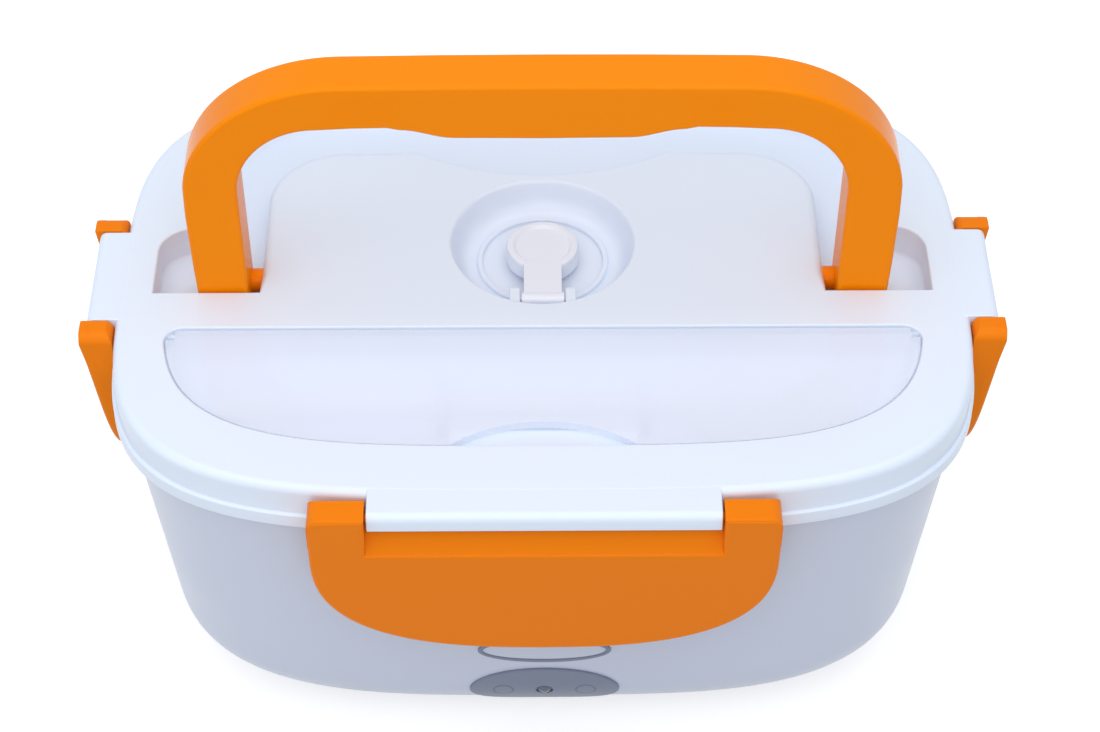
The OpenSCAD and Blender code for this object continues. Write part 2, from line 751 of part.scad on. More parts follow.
// Raised middle of the lid, shrunk by d, with the finger scoop cut from its back
module plateau_shape(d) {
    difference() {
        polygon(round_rect([-plateau_hw + d, -60], [plateau_hw - d, plateau_back - d], plateau_r - d));
        translate([0, plateau_back - scoop_sag + scoop_r]) circle(r = scoop_r + d, $fn = 120);
    }
}

// Channel and leg pockets, grown by d
module channel_shape(d) {
    difference() {
        union() {
            polygon(fold_outline(1 + d, pocket_front - d));
            polygon(round_rect([-pocket_hw - d, pocket_front - d - 20],
                [pocket_hw + d, pocket_back + d], 9 + d));
        }
        translate([-150, pocket_front - d - 50]) square([300, 50]);
        plateau_shape(d);
    }
}

// Cutlery recess outline, shrunk by d
module recess_shape(d) {
    intersection() {
        polygon(squircle(recess_hw - d, recess_front - d, 3.8));
        polygon(round_rect([-recess_hw + 0.8 + d, -recess_front - 10],
            [recess_hw - 0.8 - d, -recess_back - d], 5));
    }
}

module slab(z0, z1) {
    translate([0, 0, z0]) linear_extrude(z1 - z0) children();
}

// Clip hinge: u runs outwards from the skirt, the pin axis is at hinge_u, hinge_z
hinge_u = 4.4;
hinge_z = lid_z - 3.5;
tongue_out = 7.6;
tongue_up = 2;
tongue_z0 = hinge_z - 2;
tongue_z1 = hinge_z + tongue_up;

module tongue(skirt, half) {
    along_x(half) polygon([for (p = [[-2.2, tongue_z0], [tongue_out - 0.5, tongue_z0],
        [tongue_out, tongue_z0 + 0.5], [tongue_out, tongue_z1 - 0.8],
        [tongue_out - 0.3, tongue_z1 - 0.2], [tongue_out - 0.9, tongue_z1], [-2.2, tongue_z1]])
        [-skirt - p[0], p[1]]]);
}

module tongue_bores(skirt, half) {
    pair_x() bar_x(clip_pin_r + pin_gap, half - 5, half + 1, -skirt - hinge_u, hinge_z);
}

cap_axis_y = vent_y - dish_r + 4.3;
cap_axis_z = lid_z - 2.8;
cap_knuckle_r = 1.9;
cap_pin_r = 1;
cap_arm_hw = 5.6;
lug_t = 2.8;

cover_axis_y = -recess_back - 2.1;
cover_axis_z = glaze_z + glaze_t / 2;
cover_pin_r = 0.8;
cover_pin_x0 = recess_hw - 4.4;
cover_pin_x1 = recess_hw + 0.6;
rest_x = 26;
rest_h = 3;
spoon_y = -43;

module lid_block() {
    skirt_top = lid_z - lid_round;
    loft([at_z(lid_outline(lip_out - 0.4), lip_z), at_z(lid_outline(lip_out), lip_z + 0.4),
        at_z(lid_outline(lip_out), lip_z + lip_h - 0.6), at_z(lid_outline(0), lip_z + lip_h),
        for (k = [0 : 4]) at_z(lid_outline(-lid_round * (1 - cos(22.5 * k))),
            skirt_top + lid_round * sin(22.5 * k))]);
}

module lid_shell() {
    under = lid_z - lid_top_t;
    color(white) difference() {
        union() {
            difference() {
                lid_block();
                plate(lid_outline(-lid_wall), lip_z - 1, under);
            }
            // Walls and floors of the recesses, hanging from the top
            slab(inner_top_z, under + eps) recess_shape(-recess_wall);
            slab(channel_z - recess_wall, under + eps) intersection() {
                channel_shape(recess_wall);
                polygon(lid_outline(-lid_wall / 2));
            }
            translate([0, vent_y, dish_z - recess_wall])
                cylinder(r = dish_r + recess_wall, h = vent_deep - lid_top_t + recess_wall + eps, $fn = 96);
            // Blocks round the handle's pivots
            pair_x() translate([plateau_hw - 8, pivot_y - stub_r - 2, pivot_z - stub_r - 1.8])
                cube([8 - recess_wall + eps, 2 * stub_r + 4, under - pivot_z + stub_r + 1.8 + eps]);
            // Tongues that carry the clips
            for (a = [0, 180]) rotate([0, 0, a]) tongue(lid_b, tongue_hl);
            for (a = [90, 270]) rotate([0, 0, a]) tongue(lid_a, side_tongue_hl);
        }
        slab(channel_z, lid_z + 1) channel_shape(0);
        // Cutlery recess, with a ledge for the cover round its curved side
        slab(glaze_z - seat_gap, lid_z + 1) recess_shape(0);
        slab(recess_z, glaze_z) union() {
            recess_shape(1.6);
            intersection() {
                recess_shape(0);
                translate([-120, -recess_back - 5]) square([240, 10]);
            }
        }
        // Vent dish with its hinge lugs left standing
        difference() {
            translate([0, vent_y, 0]) rotate_extrude($fn = 96) polygon([[0, dish_z],
                [dish_r - 4.6, dish_z], [dish_r - 2.6, dish_z + 1.6], [dish_r - 0.9, lid_z - 1.6],
                [dish_r, lid_z], [dish_r, lid_z + 1], [0, lid_z + 1]]);
            for (s = [-1, 1]) translate([s * (cap_arm_hw + 0.4 + lug_t / 2) - lug_t / 2,
                cap_axis_y - 6, dish_z - 1]) cube([lug_t, 8.4, vent_deep + 0.4]);
            // Seat of the vent cap
            translate([0, vent_y, dish_z - 1]) cylinder(r = 7, h = 2.6);
            translate([0, vent_y, dish_z - 1]) difference() {
                cylinder(r = 17.6, h = 2.2, $fn = 72);
                cylinder(r = 16.2, h = 3, $fn = 72);
                translate([-cap_arm_hw - 2, -20, -1]) cube([2 * cap_arm_hw + 4, 12, 4]);
            }
        }
        translate([0, vent_y, dish_z - 5]) cylinder(r = 2.5, h = 12);
        // Bores of the hinges
        pair_x() bar_x(stub_r + pin_gap, plateau_hw - 6.5, plateau_hw + 1, pivot_y, pivot_z);
        pair_x() bar_x(cap_pin_r + pin_gap, cap_arm_hw - 1, cap_arm_hw + 0.4 + lug_t + eps,
            cap_axis_y, cap_axis_z);
        pair_x() bar_x(cover_pin_r + pin_gap, cover_pin_x0, cover_pin_x1 + 0.4,
            cover_axis_y, cover_axis_z);
        for (a = [0, 180]) rotate([0, 0, a]) tongue_bores(lid_b, tongue_hl);
        for (a = [90, 270]) rotate([0, 0, a]) tongue_bores(lid_a, side_tongue_hl);
    }
    // Rests for the cutlery
    color(white) for (s = [-1, 1]) {
        translate([s * rest_x - 0.8, spoon_y - 8, recess_z - eps]) cube([1.6, 16, rest_h + eps]);
        for (t = [-7, 7]) translate([s * rest_x - 0.8, spoon_y + t - 1, recess_z - eps])
            cube([1.6, 2, rest_h + 2 + eps]);
    }
}

// Plate that closes the lid from below, with ribs that hold the gasket
plug_t = 1.7;
plug_z = inner_top_z - plug_t;
gasket_out_a = chamber_a + 3.2;
gasket_out_b = chamber_b + 3.2;
gasket_w = 5.6;
rib_t = 1.6;
rib_drop = 1.8;

module lid_inner() {
    rib_a = chamber_a - pan_gap - pan_wall - run_gap;
    rib_b = chamber_b - pan_gap - pan_wall - run_gap;
    color(white) difference() {
        union() {
            plate(lid_outline(-lid_wall - 0.25), plug_z, plug_z + plug_t);
            ring_plate(squircle(gasket_out_a + seat_gap + rib_t, gasket_out_b + seat_gap + rib_t,
                    chamber_square),
                squircle(gasket_out_a + seat_gap, gasket_out_b + seat_gap, chamber_square),
                plug_z - rib_drop, plug_z + eps);
            ring_plate(squircle(rib_a, rib_b, chamber_square, inner_seg),
                squircle(rib_a - rib_t, rib_b - rib_t, chamber_square, inner_seg),
                plug_z - rib_drop, plug_z + eps);
        }
        translate([0, vent_y, plug_z - 1]) cylinder(r = 3, h = plug_t + 2);
    }
}

pan_rim_top_z = flange_z + seat_gap + pan_rim_t;

module lid_gasket() {
    color([0.93, 0.94, 0.95]) ring_plate(squircle(gasket_out_a, gasket_out_b, chamber_square),
        squircle(gasket_out_a - gasket_w, gasket_out_b - gasket_w, chamber_square),
        pan_rim_top_z + 0.3, plug_z);
}

module vent_cap() {
    top = lid_z - 1.2;
    seat = dish_z + 1.6 + seat_gap;
    color([0.92, 0.94, 0.97]) difference() {
        union() {
            translate([0, vent_y, 0]) rotate_extrude($fn = 72) polygon([[0, seat], [cap_r, seat],
                [cap_r, top - 1], [cap_r - 0.3, top - 0.3], [cap_r - 1, top], [cap_r - 1.8, top],
                [cap_r - 2.6, top - 0.8], [0, top - 0.8]]);
            translate([-cap_arm_hw + 0.6, cap_axis_y, cap_axis_z])
                cube([2 * cap_arm_hw - 1.2, vent_y - cap_axis_y - cap_r + 2, 1.7]);
            bar_x(cap_knuckle_r, -cap_arm_hw, cap_arm_hw, cap_axis_y, cap_axis_z);
            bar_x(cap_pin_r, -cap_arm_hw - lug_t, cap_arm_hw + lug_t, cap_axis_y, cap_axis_z);
        }
        // Hollow under the cap that clears the steam hole
        translate([0, vent_y, seat - 1]) cylinder(r = 4, h = 2.6);
    }
}

module cutlery_cover() {
    // Inside this far in front of the hinge, the raised cover stands beside the recess's corners
    swing = lid_z - cover_axis_z + 0.6;
    color([0.88, 0.92, 0.97, 0.6]) union() {
        slab(glaze_z, glaze_top_z) difference() {
            recess_shape(run_gap);
            translate([-120, -recess_back - 0.7]) square([240, 10]);
            translate([0, -thumb_r - recess_front + 8.5]) circle(r = thumb_r, $fn = 96);
            for (s = [-1, 1]) translate([s * (recess_hw + 1.5) - 5, cover_axis_y - swing])
                square([10, 10]);
        }
        // Hinge pins at the back corners
        pair_x() bar_x(cover_pin_r, cover_pin_x0, cover_pin_x1, cover_axis_y, cover_axis_z);
    }
}

// ---------------------------------------------------------------- spoon

bowl_x = recess_hw - 42.8;
tail_x = 12.8 - recess_hw;
spoon_t = 1.4;

module spoon() {
    bowl_ball = 64;
    color([0.90, 0.92, 0.95]) translate([0, spoon_y, 0]) {
        // Bowl: a slice of a hollow ball cut to an oval
        intersection() {
            plate([for (p = squircle(23, 15, 2.1, 48)) [p.x + bowl_x, p.y]], recess_z, recess_z + 8);
            difference() {
                translate([bowl_x, 0, recess_z + 0.2 + bowl_ball]) sphere(r = bowl_ball, $fn = 120);
                translate([bowl_x, 0, recess_z + 0.2 + bowl_ball])
                    sphere(r = bowl_ball - spoon_t, $fn = 120);
            }
        }
        // Handle
        plate([[bowl_x - 19, -4.5], [bowl_x - 19, 4.5], [bowl_x - 34, 3.2],
            [tail_x + 26, 4.6], [tail_x + 8, 5.6], [tail_x + 2, 4], [tail_x, 0],
            [tail_x + 2, -4], [tail_x + 8, -5.6], [tail_x + 26, -4.6], [bowl_x - 34, -3.2]],
            recess_z + rest_h + seat_gap, recess_z + rest_h + seat_gap + spoon_t + 0.4);
    }
}

// ---------------------------------------------------------------- handle

// Inner edge of the handle, from one leg's inside over the bar to the other
inner_edge = let (x0 = handle_hw - leg_w, z1 = handle_h - bar_h, r = 21)
    concat(arc([x0 - r, z1 - r], r, r, 0, 90, 14), [[39, z1 + 0.7]],
        [for (k = [0 : 5]) let (t = k / 5) [36 - 14 * t, z1 - bar_belly * (1 - cos(180 * t)) / 2]],
        [[10, z1 - bar_belly - 0.1], [0, z1 - bar_belly - 0.2]]);

module handle_shape() {
    cx = handle_hw - corner_x;
    cz = handle_h - corner_z;
    leg_low = -4.2;
    right_out = concat([[handle_hw - 1.4, leg_low + 1.5], [handle_hw - 0.6, 12],
        [handle_hw, 30]], arc([cx, cz], corner_x, corner_z, 4, 90, 18), [[25, handle_h + 0.3]]);
    x_in = handle_hw - leg_w;
    polygon(concat([[x_in + 1.5, leg_low], [handle_hw - 3, leg_low]],
        right_out, [[0, handle_h + 0.4]],
        [for (k = [len(right_out) - 1 : -1 : 0]) [-right_out[k][0], right_out[k][1]]],
        [[-handle_hw + 3, leg_low], [-x_in - 1.5, leg_low], [-x_in + 0.6, leg_low + 2]],
        [for (p = inner_edge) [-p.x, p.y]],
        [for (k = [len(inner_edge) - 2 : -1 : 0]) inner_edge[k]], [[x_in - 0.6, leg_low + 2]]));
}

module handle() {
    back_y = leg_front_y + handle_t;
    color(orange) {
        difference() {
            translate([0, back_y, pivot_z]) rotate([90, 0, 0]) linear_extrude(handle_t) handle_shape();
            // The legs' lower corners are rounded about the pivot
            difference() {
                translate([-100, pivot_y, pivot_z - 10]) cube([200, 20, 10]);
                bar_x(back_y - pivot_y, -100, 100, pivot_y, pivot_z);
            }
            difference() {
                translate([-100, pivot_y - 20, pivot_z - 10]) cube([200, 20, 10]);
                bar_x(pivot_y - leg_front_y, -100, 100, pivot_y, pivot_z);
            }
        }
        pair_x() bar_x(stub_r, plateau_hw - 6, handle_hw - leg_w + 1, pivot_y, pivot_z);
    }
}

// ---------------------------------------------------------------- clips

// Outline of a clip seen from the front, z measured from its top: flat top, round D below
function clip_outline(half, tall, d) = let (n = 2.3, deep = tall * 0.58)
    concat([for (i = [0 : 36]) let (t = 180 + 180 * i / 36, c = cos(t), s = sin(t))
        [(half - d) * sign(c) * pow(abs(c), 2 / n),
            -tall + deep + (deep - d) * sign(s) * pow(abs(s), 2 / n)]],
        [[half - d, -3 - d], [half - d - 1, -0.8 - d], [half - d - 3, -d],
         [-half + d + 3, -d], [-half + d + 1, -0.8 - d], [-half + d, -3 - d]]);

clip_slope = 0.1;
clip_top_z = tongue_z1;
hook_gap = 0.3;

// Side view of a clip's slab: u of the front face at height z
function face_u(z) = clip_out - clip_slope * (clip_top_z - z);

// Slab that follows the body's draft, from the front face back by deep
module clip_slab(half, tall, d0, d1) {
    low = clip_top_z - tall - 1;
    along_x(half + 1) polygon([[-face_u(clip_top_z) + d0, clip_top_z + 1],
        [-face_u(low) + d0, low], [-face_u(low) + d1, low], [-face_u(clip_top_z) + d1, clip_top_z + 1]]);
}

module clip(skirt, half, tongue_half, tall) {
    ledge_z = hinge_z - 8.1;
    inner_half = tongue_half + 0.5;
    color(orange) translate([0, -skirt, 0]) {
        difference() {
            union() {
                // Shell: a D-shaped slab, hollowed from behind
                difference() {
                    intersection() {
                        translate([0, 0, clip_top_z]) rotate([90, 0, 0]) translate([0, 0, -8])
                            linear_extrude(24) polygon(clip_outline(half, tall, 0));
                        clip_slab(half, tall, 0, clip_deep);
                    }
                    intersection() {
                        translate([0, 0, clip_top_z]) rotate([90, 0, 0]) translate([0, 0, -8])
                            linear_extrude(24) polygon(clip_outline(half, tall, 2.2));
                        clip_slab(half, tall, clip_wall, clip_deep + 5);
                        along_x(half) polygon([[20, 0], [20, hinge_z - 6.7], [-hinge_u, hinge_z - 6.7],
                            [-hinge_u - 2.6, hinge_z - 8.6], [-20, hinge_z - 8.6], [-20, 0]]);
                    }
                }
                // Horns round the hinge pins
                pair_x() intersection() {
                    translate([inner_half, -clip_out, hinge_z - 6]) cube([half - inner_half - 1,
                        clip_out - hinge_u + 3.5, 6 + tongue_up]);
                    along_x(half) polygon([[-clip_out + 0.4, hinge_z + tongue_up],
                        [-hinge_u + 2.2, hinge_z + tongue_up],
                        [-hinge_u + 3.4, hinge_z + 1], [-hinge_u + 3.4, hinge_z - 2.5],
                        [-hinge_u + 2.2, hinge_z - 6], [-clip_out + 0.8, hinge_z - 6]]);
                }
                // Hook that snaps under the catch rib
                catch_hook(half - 6);
            }
            // Notch for the lid's tongue, with a sloping lower edge
            along_x(inner_half) polygon([[6, hinge_z - 4.5],
                [-hinge_u - 0.4, hinge_z - 4.5], [-clip_out - 1, ledge_z - 1.1],
                [-clip_out - 1, clip_top_z + 2], [6, clip_top_z + 2]]);
        }
        // Pins
        pair_x() bar_x(clip_pin_r, inner_half - 4.5, inner_half + 1, -hinge_u, hinge_z);
    }
}

module catch_hook(half) {
    rise = hook_gap / cos(catch_slope);
    tip_u = -1.4;
    root_u = catch_tip + 1;
    top0 = catch_low_z - rise + (tip_u - catch_tip) * tan(catch_slope);
    top1 = catch_low_z - rise;
    face = face_u(top0) - 1;
    along_x(half) polygon([[-tip_u, top0], [-catch_tip, top1], [-root_u, top1 + 0.4],
        [-face, top1 + 0.4], [-face, top0 - 2.4], [-tip_u - 2, top0 - 2.4], [-tip_u, top0 - 1]]);
}

module clip_front() { clip(lid_b, clip_hl, tongue_hl, clip_h); }
module clip_back() { rotate([0, 0, 180]) clip(lid_b, clip_hl, tongue_hl, clip_h); }
module clip_right() { rotate([0, 0, 90]) clip(lid_a, side_hl, side_tongue_hl, side_h); }
module clip_left() { rotate([0, 0, 270]) clip(lid_a, side_hl, side_tongue_hl, side_h); }

// ---------------------------------------------------------------- food container

pan_floor_z = plate_z + plate_t + 0.3;
pan_a = chamber_a - pan_gap;
pan_b = chamber_b - pan_gap;

module food_container() {
    rim_a = chamber_a + 3;
    rim_b = chamber_b + 3;
    rim0 = flange_z + seat_gap;
    outer = pan_rings(pan_a, pan_b, pan_floor_z, rim0, chamber_draft, chamber_round);
    inner = pan_rings(pan_a - pan_wall, pan_b - pan_wall, pan_floor_z + pan_wall,
        rim0 + pan_rim_t, chamber_draft, chamber_round - pan_wall);
    rim = squircle(rim_a, rim_b, chamber_square, inner_seg);
    color([0.95, 0.96, 0.98]) loft(concat(outer, [at_z(rim, rim0), at_z(rim, rim0 + pan_rim_t)],
        backwards(inner)));
}

dish_d = 2 * (pan_b - dish_end_gap);
dish_x = pan_a - dish_side_gap - dish_w / 2;
dish_floor_z = pan_floor_z + pan_wall + 0.2;

// Rounded box outline of the side dish, grown by d
function dish_outline(d) = let (r = 14 + d)
    round_rect([dish_x - dish_w / 2 - d, -dish_d / 2 - d], [dish_x + dish_w / 2 + d, dish_d / 2 + d], r);

module side_dish_box() {
    taper = 4;
    edge = 4;
    edge_h = 3;
    z0 = dish_floor_z;
    z1 = z0 + dish_h;
    inner_edge_h = edge_h - 0.4;
    color([0.93, 0.95, 0.98]) loft([at_z(dish_outline(-taper - edge), z0),
        at_z(dish_outline(-taper), z0 + edge_h), at_z(dish_outline(0), z1),
        at_z(dish_outline(-dish_wall), z1),
        at_z(dish_outline(-taper - dish_wall), z0 + dish_wall + inner_edge_h),
        at_z(dish_outline(-taper - dish_wall - edge + 0.6), z0 + dish_wall)]);
}

module side_dish_lid() {
    z = dish_floor_z + dish_h + seat_gap;
    color([0.88, 0.91, 0.97]) union() {
        plate(dish_outline(2), z, z + 1.6);
        ring_plate(dish_outline(2), dish_outline(0.5), z - 4, z + eps);
        ring_plate(dish_outline(-6), dish_outline(-8), z + 1.5, z + 2.4);
    }
}

// ---------------------------------------------------------------- assembly

outer_shell();
bottom_cover();
foot_pads();
bottom_screws();
chamber_liner();
heater_plate();
heating_element();
heater_clamp();
clamp_screws();
thermostat();
thermal_fuse();
insulation_pad();
power_inlet();
inlet_pins();
inlet_screws();
inlet_cover();
lead_wires();
indicator_panel();
indicator_board();
indicator_light();
lid_shell();
lid_inner();
lid_gasket();
vent_cap();
cutlery_cover();
spoon();
handle();
clip_front();
clip_back();
clip_left();
clip_right();
food_container();
side_dish_box();
side_dish_lid();
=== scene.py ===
from math import cos, pi, radians, sin, sqrt

import bmesh
import bpy
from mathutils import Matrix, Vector
from mathutils.geometry import delaunay_2d_cdt


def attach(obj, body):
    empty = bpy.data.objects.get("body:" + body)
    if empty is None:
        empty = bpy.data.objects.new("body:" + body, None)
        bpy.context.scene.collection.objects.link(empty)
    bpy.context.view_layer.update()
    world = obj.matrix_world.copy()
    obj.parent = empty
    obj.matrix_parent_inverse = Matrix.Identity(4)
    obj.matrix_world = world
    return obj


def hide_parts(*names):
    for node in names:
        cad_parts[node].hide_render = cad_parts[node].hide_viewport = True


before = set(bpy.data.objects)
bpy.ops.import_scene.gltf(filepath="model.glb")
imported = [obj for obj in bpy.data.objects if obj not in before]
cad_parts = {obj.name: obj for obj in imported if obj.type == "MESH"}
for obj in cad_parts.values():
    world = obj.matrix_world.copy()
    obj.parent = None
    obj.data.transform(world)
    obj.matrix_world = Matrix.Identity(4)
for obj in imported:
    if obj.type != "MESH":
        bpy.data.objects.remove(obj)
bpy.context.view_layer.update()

scene = bpy.context.scene
scene.view_settings.view_transform = "Standard"

# ---- Outer shell ----
# The white body is one drafted polypropylene moulding, 219 x 157 mm at its rim and 90 mm tall. A
# pocket for the bottom cover is sunk into its base, and the ribs that the clips catch on and the
# flat pad of the mains inlet stand on its wall.
MM = 0.001
BASE_Z = 2.0
BODY_H = 90.4
BODY_HALF = (109.5, 78.4)
BODY_DRAFT = 9.0
BASE_ROUND = 23.0
WALL = 2.4
RIM_SQUARE, BASE_SQUARE = 3.8, 3.5
ROUND_STEPS = 240


def place(tree, kind, inputs, **settings):
    """Adds a node; an input takes a number, a colour or another node's output."""
    node = tree.nodes.new(kind)
    for key, value in settings.items():
        setattr(node, key, value)
    for key, value in inputs.items():
        if isinstance(value, bpy.types.NodeSocket):
            tree.links.new(value, node.inputs[key])
        else:
            node.inputs[key].default_value = value
    return node


def calc(tree, operation, a, b=0.0, clamp=False):
    """The result of a sum on numbers or on other nodes' outputs."""
    return place(tree, "ShaderNodeMath", {0: a, 1: b}, operation=operation, use_clamp=clamp).outputs[0]


def new_group(name, kind, inputs, outputs):
    """A node group with sockets given as {kind: {name: value}}; also its inputs and its results."""
    group = bpy.data.node_groups.new(name, kind)
    for way, kinds in (("INPUT", inputs), ("OUTPUT", outputs)):
        for what, named in kinds.items():
            for title, value in named.items():
                socket = group.interface.new_socket(
                    name=title, in_out=way, socket_type="NodeSocket" + what)
                if value is not None:
                    socket.default_value = value
    return group, group.nodes.new("NodeGroupInput").outputs, group.nodes.new("NodeGroupOutput").inputs


def close_tree(tree, geometry, given, result):
    """Makes the instances real, sets the finish and leads the geometry out of the tree."""
    whole = place(tree, "GeometryNodeRealizeInstances", {"Geometry": geometry})
    dressed = place(tree, "GeometryNodeSetMaterial", {
        "Geometry": whole.outputs[0], "Material": given["Finish"]})
    tree.links.new(dressed.outputs[0], result)
    return tree


def pan_tree():
    """Sweeps a wall section round a superellipse that narrows and softens towards its foot."""
    tree, given, end = new_group("drafted_pan", "GeometryNodeTree", {
        "Geometry": {"Section": None},
        "Float": {"Half Width": 0.11, "Half Depth": 0.08, "Height": 0.09, "Draft": 0.009,
                  "Base Level": 0.002, "Foot Squareness": 3.5, "Rim Squareness": 3.8},
        "Material": {"Finish": None}}, {"Geometry": {"Pan": None}})
    height, inset, turn = (
        place(tree, "GeometryNodeInputNamedAttribute", {"Name": name}, data_type="FLOAT").outputs[0]
        for name in ("height", "inset", "turn"))
    share = calc(tree, "DIVIDE", height, given["Height"])
    lean = calc(tree, "MULTIPLY", given["Draft"], calc(tree, "SUBTRACT", 1.0, share))
    gain = calc(tree, "SUBTRACT", given["Rim Squareness"], given["Foot Squareness"])
    square = calc(tree, "ADD", given["Foot Squareness"], calc(tree, "MULTIPLY", share, gain))
    bend = calc(tree, "DIVIDE", 2.0, square)
    sides = []
    for half, wave in (("Half Width", "COSINE"), ("Half Depth", "SINE")):
        reach = calc(tree, "SUBTRACT", calc(tree, "SUBTRACT", given[half], lean), inset)
        swing = calc(tree, wave, turn)
        power = calc(tree, "POWER", calc(tree, "ABSOLUTE", swing), bend)
        far = calc(tree, "MULTIPLY", reach, power)
        sides.append(calc(tree, "MULTIPLY", far, calc(tree, "SIGN", swing)))
    spot = place(tree, "ShaderNodeCombineXYZ", {
        "X": sides[0], "Y": sides[1], "Z": calc(tree, "ADD", height, given["Base Level"])})
    swept = place(tree, "GeometryNodeSetPosition", {
        "Geometry": given["Section"], "Position": spot.outputs[0]})
    return close_tree(tree, swept.outputs[0], given, end["Pan"])


def put_in_scene(name, data):
    """A new object that holds the data, in the scene."""
    thing = bpy.data.objects.new(name, data)
    scene.collection.objects.link(thing)
    return thing


def opened(mesh):
    """A mesh ready for work on its points and faces."""
    bm = bmesh.new()
    bm.from_mesh(mesh)
    return bm


def closed_up(bm, name):
    """The worked mesh as plain data again."""
    mesh = bpy.data.meshes.new(name)
    bm.to_mesh(mesh)
    bm.free()
    return mesh


def run_tree(tree, start_mesh, values):
    """Runs a Geometry Nodes tree on a mesh and gives back a plain mesh."""
    host = bpy.data.objects.new("host", start_mesh)
    nodes = host.modifiers.new("nodes", "NODES")
    nodes.node_group = tree
    for item in tree.interface.items_tree:
        if item.item_type == "SOCKET" and item.in_out == "INPUT" and item.name in values:
            nodes[item.identifier] = values[item.name]
    scene.collection.objects.link(host)
    made = bpy.data.meshes.new_from_object(host.evaluated_get(bpy.context.evaluated_depsgraph_get()))
    host.modifiers.clear()
    bpy.data.objects.remove(host)
    return made


def strip_faces(rings, count, closed=False):
    """Quads between each ring of count points and the next."""
    last = rings if closed else rings - 1
    return [(k * count + i, k * count + (i + 1) % count,
             (k + 1) % rings * count + (i + 1) % count, (k + 1) % rings * count + i)
            for k in range(last) for i in range(count)]


def full_turn(steps):
    """Even angles all the way round."""
    return [2 * pi * i / steps for i in range(steps)]


PAN_TREE = pan_tree()


def swept_pan(section, closed, half, height, draft, level, squareness, finish):
    """The pan whose wall section is given as (inset, height) in mm, lowest outer point first."""
    strip = bpy.data.meshes.new("strip")
    strip.from_pydata([(0, 0, 0)] * (len(section) * ROUND_STEPS), [],
                      strip_faces(len(section), ROUND_STEPS, closed))
    turns = full_turn(ROUND_STEPS)
    for name, values in (("turn", turns * len(section)),
                         ("inset", [p[0] * MM for p in section for _ in turns]),
                         ("height", [p[1] * MM for p in section for _ in turns])):
        strip.attributes.new(name, "FLOAT", "POINT").data.foreach_set("value", values)
    pan = opened(run_tree(PAN_TREE, strip, {
        "Half Width": half[0] * MM, "Half Depth": half[1] * MM, "Height": height * MM, "Draft": draft * MM,
        "Base Level": level * MM, "Foot Squareness": squareness[0], "Rim Squareness": squareness[1],
        "Finish": finish}))
    pan.verts.ensure_lookup_table()
    return pan


def bowl_point(height, inset, radius):
    """A point of a wall section whose foot turns into the floor with a radius."""
    r, drop = radius - inset, radius - height
    tuck = 0 if drop <= 0 else r - sqrt(max(0, r * r - drop * drop))
    return inset + tuck, height


def arc(cx, cy, rx, ry, start, end, steps):
    """Points along an ellipse between two angles in degrees."""
    turns = [radians(start + (end - start) * k / steps) for k in range(steps + 1)]
    return [(cx + rx * cos(t), cy + ry * sin(t)) for t in turns]


def round_box(x0, y0, x1, y1, r):
    """Rectangle with corners of radius r, anticlockwise."""
    corners = ((x1 - r, y0 + r, -90), (x1 - r, y1 - r, 0), (x0 + r, y1 - r, 90), (x0 + r, y0 + r, 180))
    return [p for cx, cy, start in corners for p in arc(cx, cy, r, r, start, start + 90, 8)]


def round_edges(bm, width, segments, angle):
    """Rounds the edges whose faces turn by more than an angle in degrees."""
    sharp = [e for e in bm.edges if len(e.link_faces) == 2 and e.calc_face_angle(0) > radians(angle)]
    bmesh.ops.bevel(bm, geom=sharp, offset=width * MM, segments=segments, profile=0.5,
                    affect="EDGES", clamp_overlap=True)


def add_prism(bm, profile, low, high, axis, bevel=0.0, segments=3):
    """Adds a prism with its profile square to an axis and rounds its sharp edges."""
    part = bmesh.new()

    def spot(u, v, t):
        """The profile's point (u, v) at t along the axis."""
        x, y, z = {"x": (t, u, v), "y": (u, t, v), "z": (u, v, t)}[axis]
        return x * MM, y * MM, z * MM
    ends = [[part.verts.new(spot(u, v, t)) for u, v in profile] for t in (low, high)]
    for end in ends:
        part.faces.new(end)
    for i in range(len(profile)):
        j = (i + 1) % len(profile)
        part.faces.new((ends[0][i], ends[0][j], ends[1][j], ends[1][i]))
    bmesh.ops.recalc_face_normals(part, faces=part.faces)
    if bevel:
        round_edges(part, bevel, segments, 32)
    part_mesh = closed_up(part, "part")
    bm.from_mesh(part_mesh)
    bpy.data.meshes.remove(part_mesh)


def finish_piece(bm, name, node, body, material, recalc=True):
    """Makes the mesh an object with its material, in the place of its CAD node if it has one."""
    bmesh.ops.remove_doubles(bm, verts=bm.verts, dist=0.002 * MM)
    if recalc:
        bmesh.ops.recalc_face_normals(bm, faces=bm.faces)
    mesh = closed_up(bm, name)
    for layer in ("turn", "inset", "height"):
        if layer in mesh.attributes:
            mesh.attributes.remove(mesh.attributes[layer])
    mesh.shade_smooth()
    mesh.set_sharp_from_angle(angle=radians(35))
    mesh.materials.clear()
    mesh.materials.append(material)
    piece = put_in_scene(name, mesh)
    piece.modifiers.new("flats", "WEIGHTED_NORMAL").keep_sharp = True
    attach(piece, body)
    if node:
        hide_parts(node)


def noise(tree, where, scale, detail):
    """A cloudy value that changes from place to place."""
    return place(tree, "ShaderNodeTexNoise", {
        "Vector": where, "Scale": scale, "Detail": detail}).outputs["Fac"]


def stretched(tree, where, scale, turn=(0.0, 0.0, 0.0)):
    """Turned and drawn-out coordinates."""
    return place(tree, "ShaderNodeMapping", {
        "Vector": where, "Scale": scale, "Rotation": turn}).outputs["Vector"]


def spread(tree, value, low, high):
    """A value's own range drawn out to 0 to 1."""
    return place(tree, "ShaderNodeMapRange", {
        "Value": value, "From Min": low, "From Max": high}).outputs["Result"]


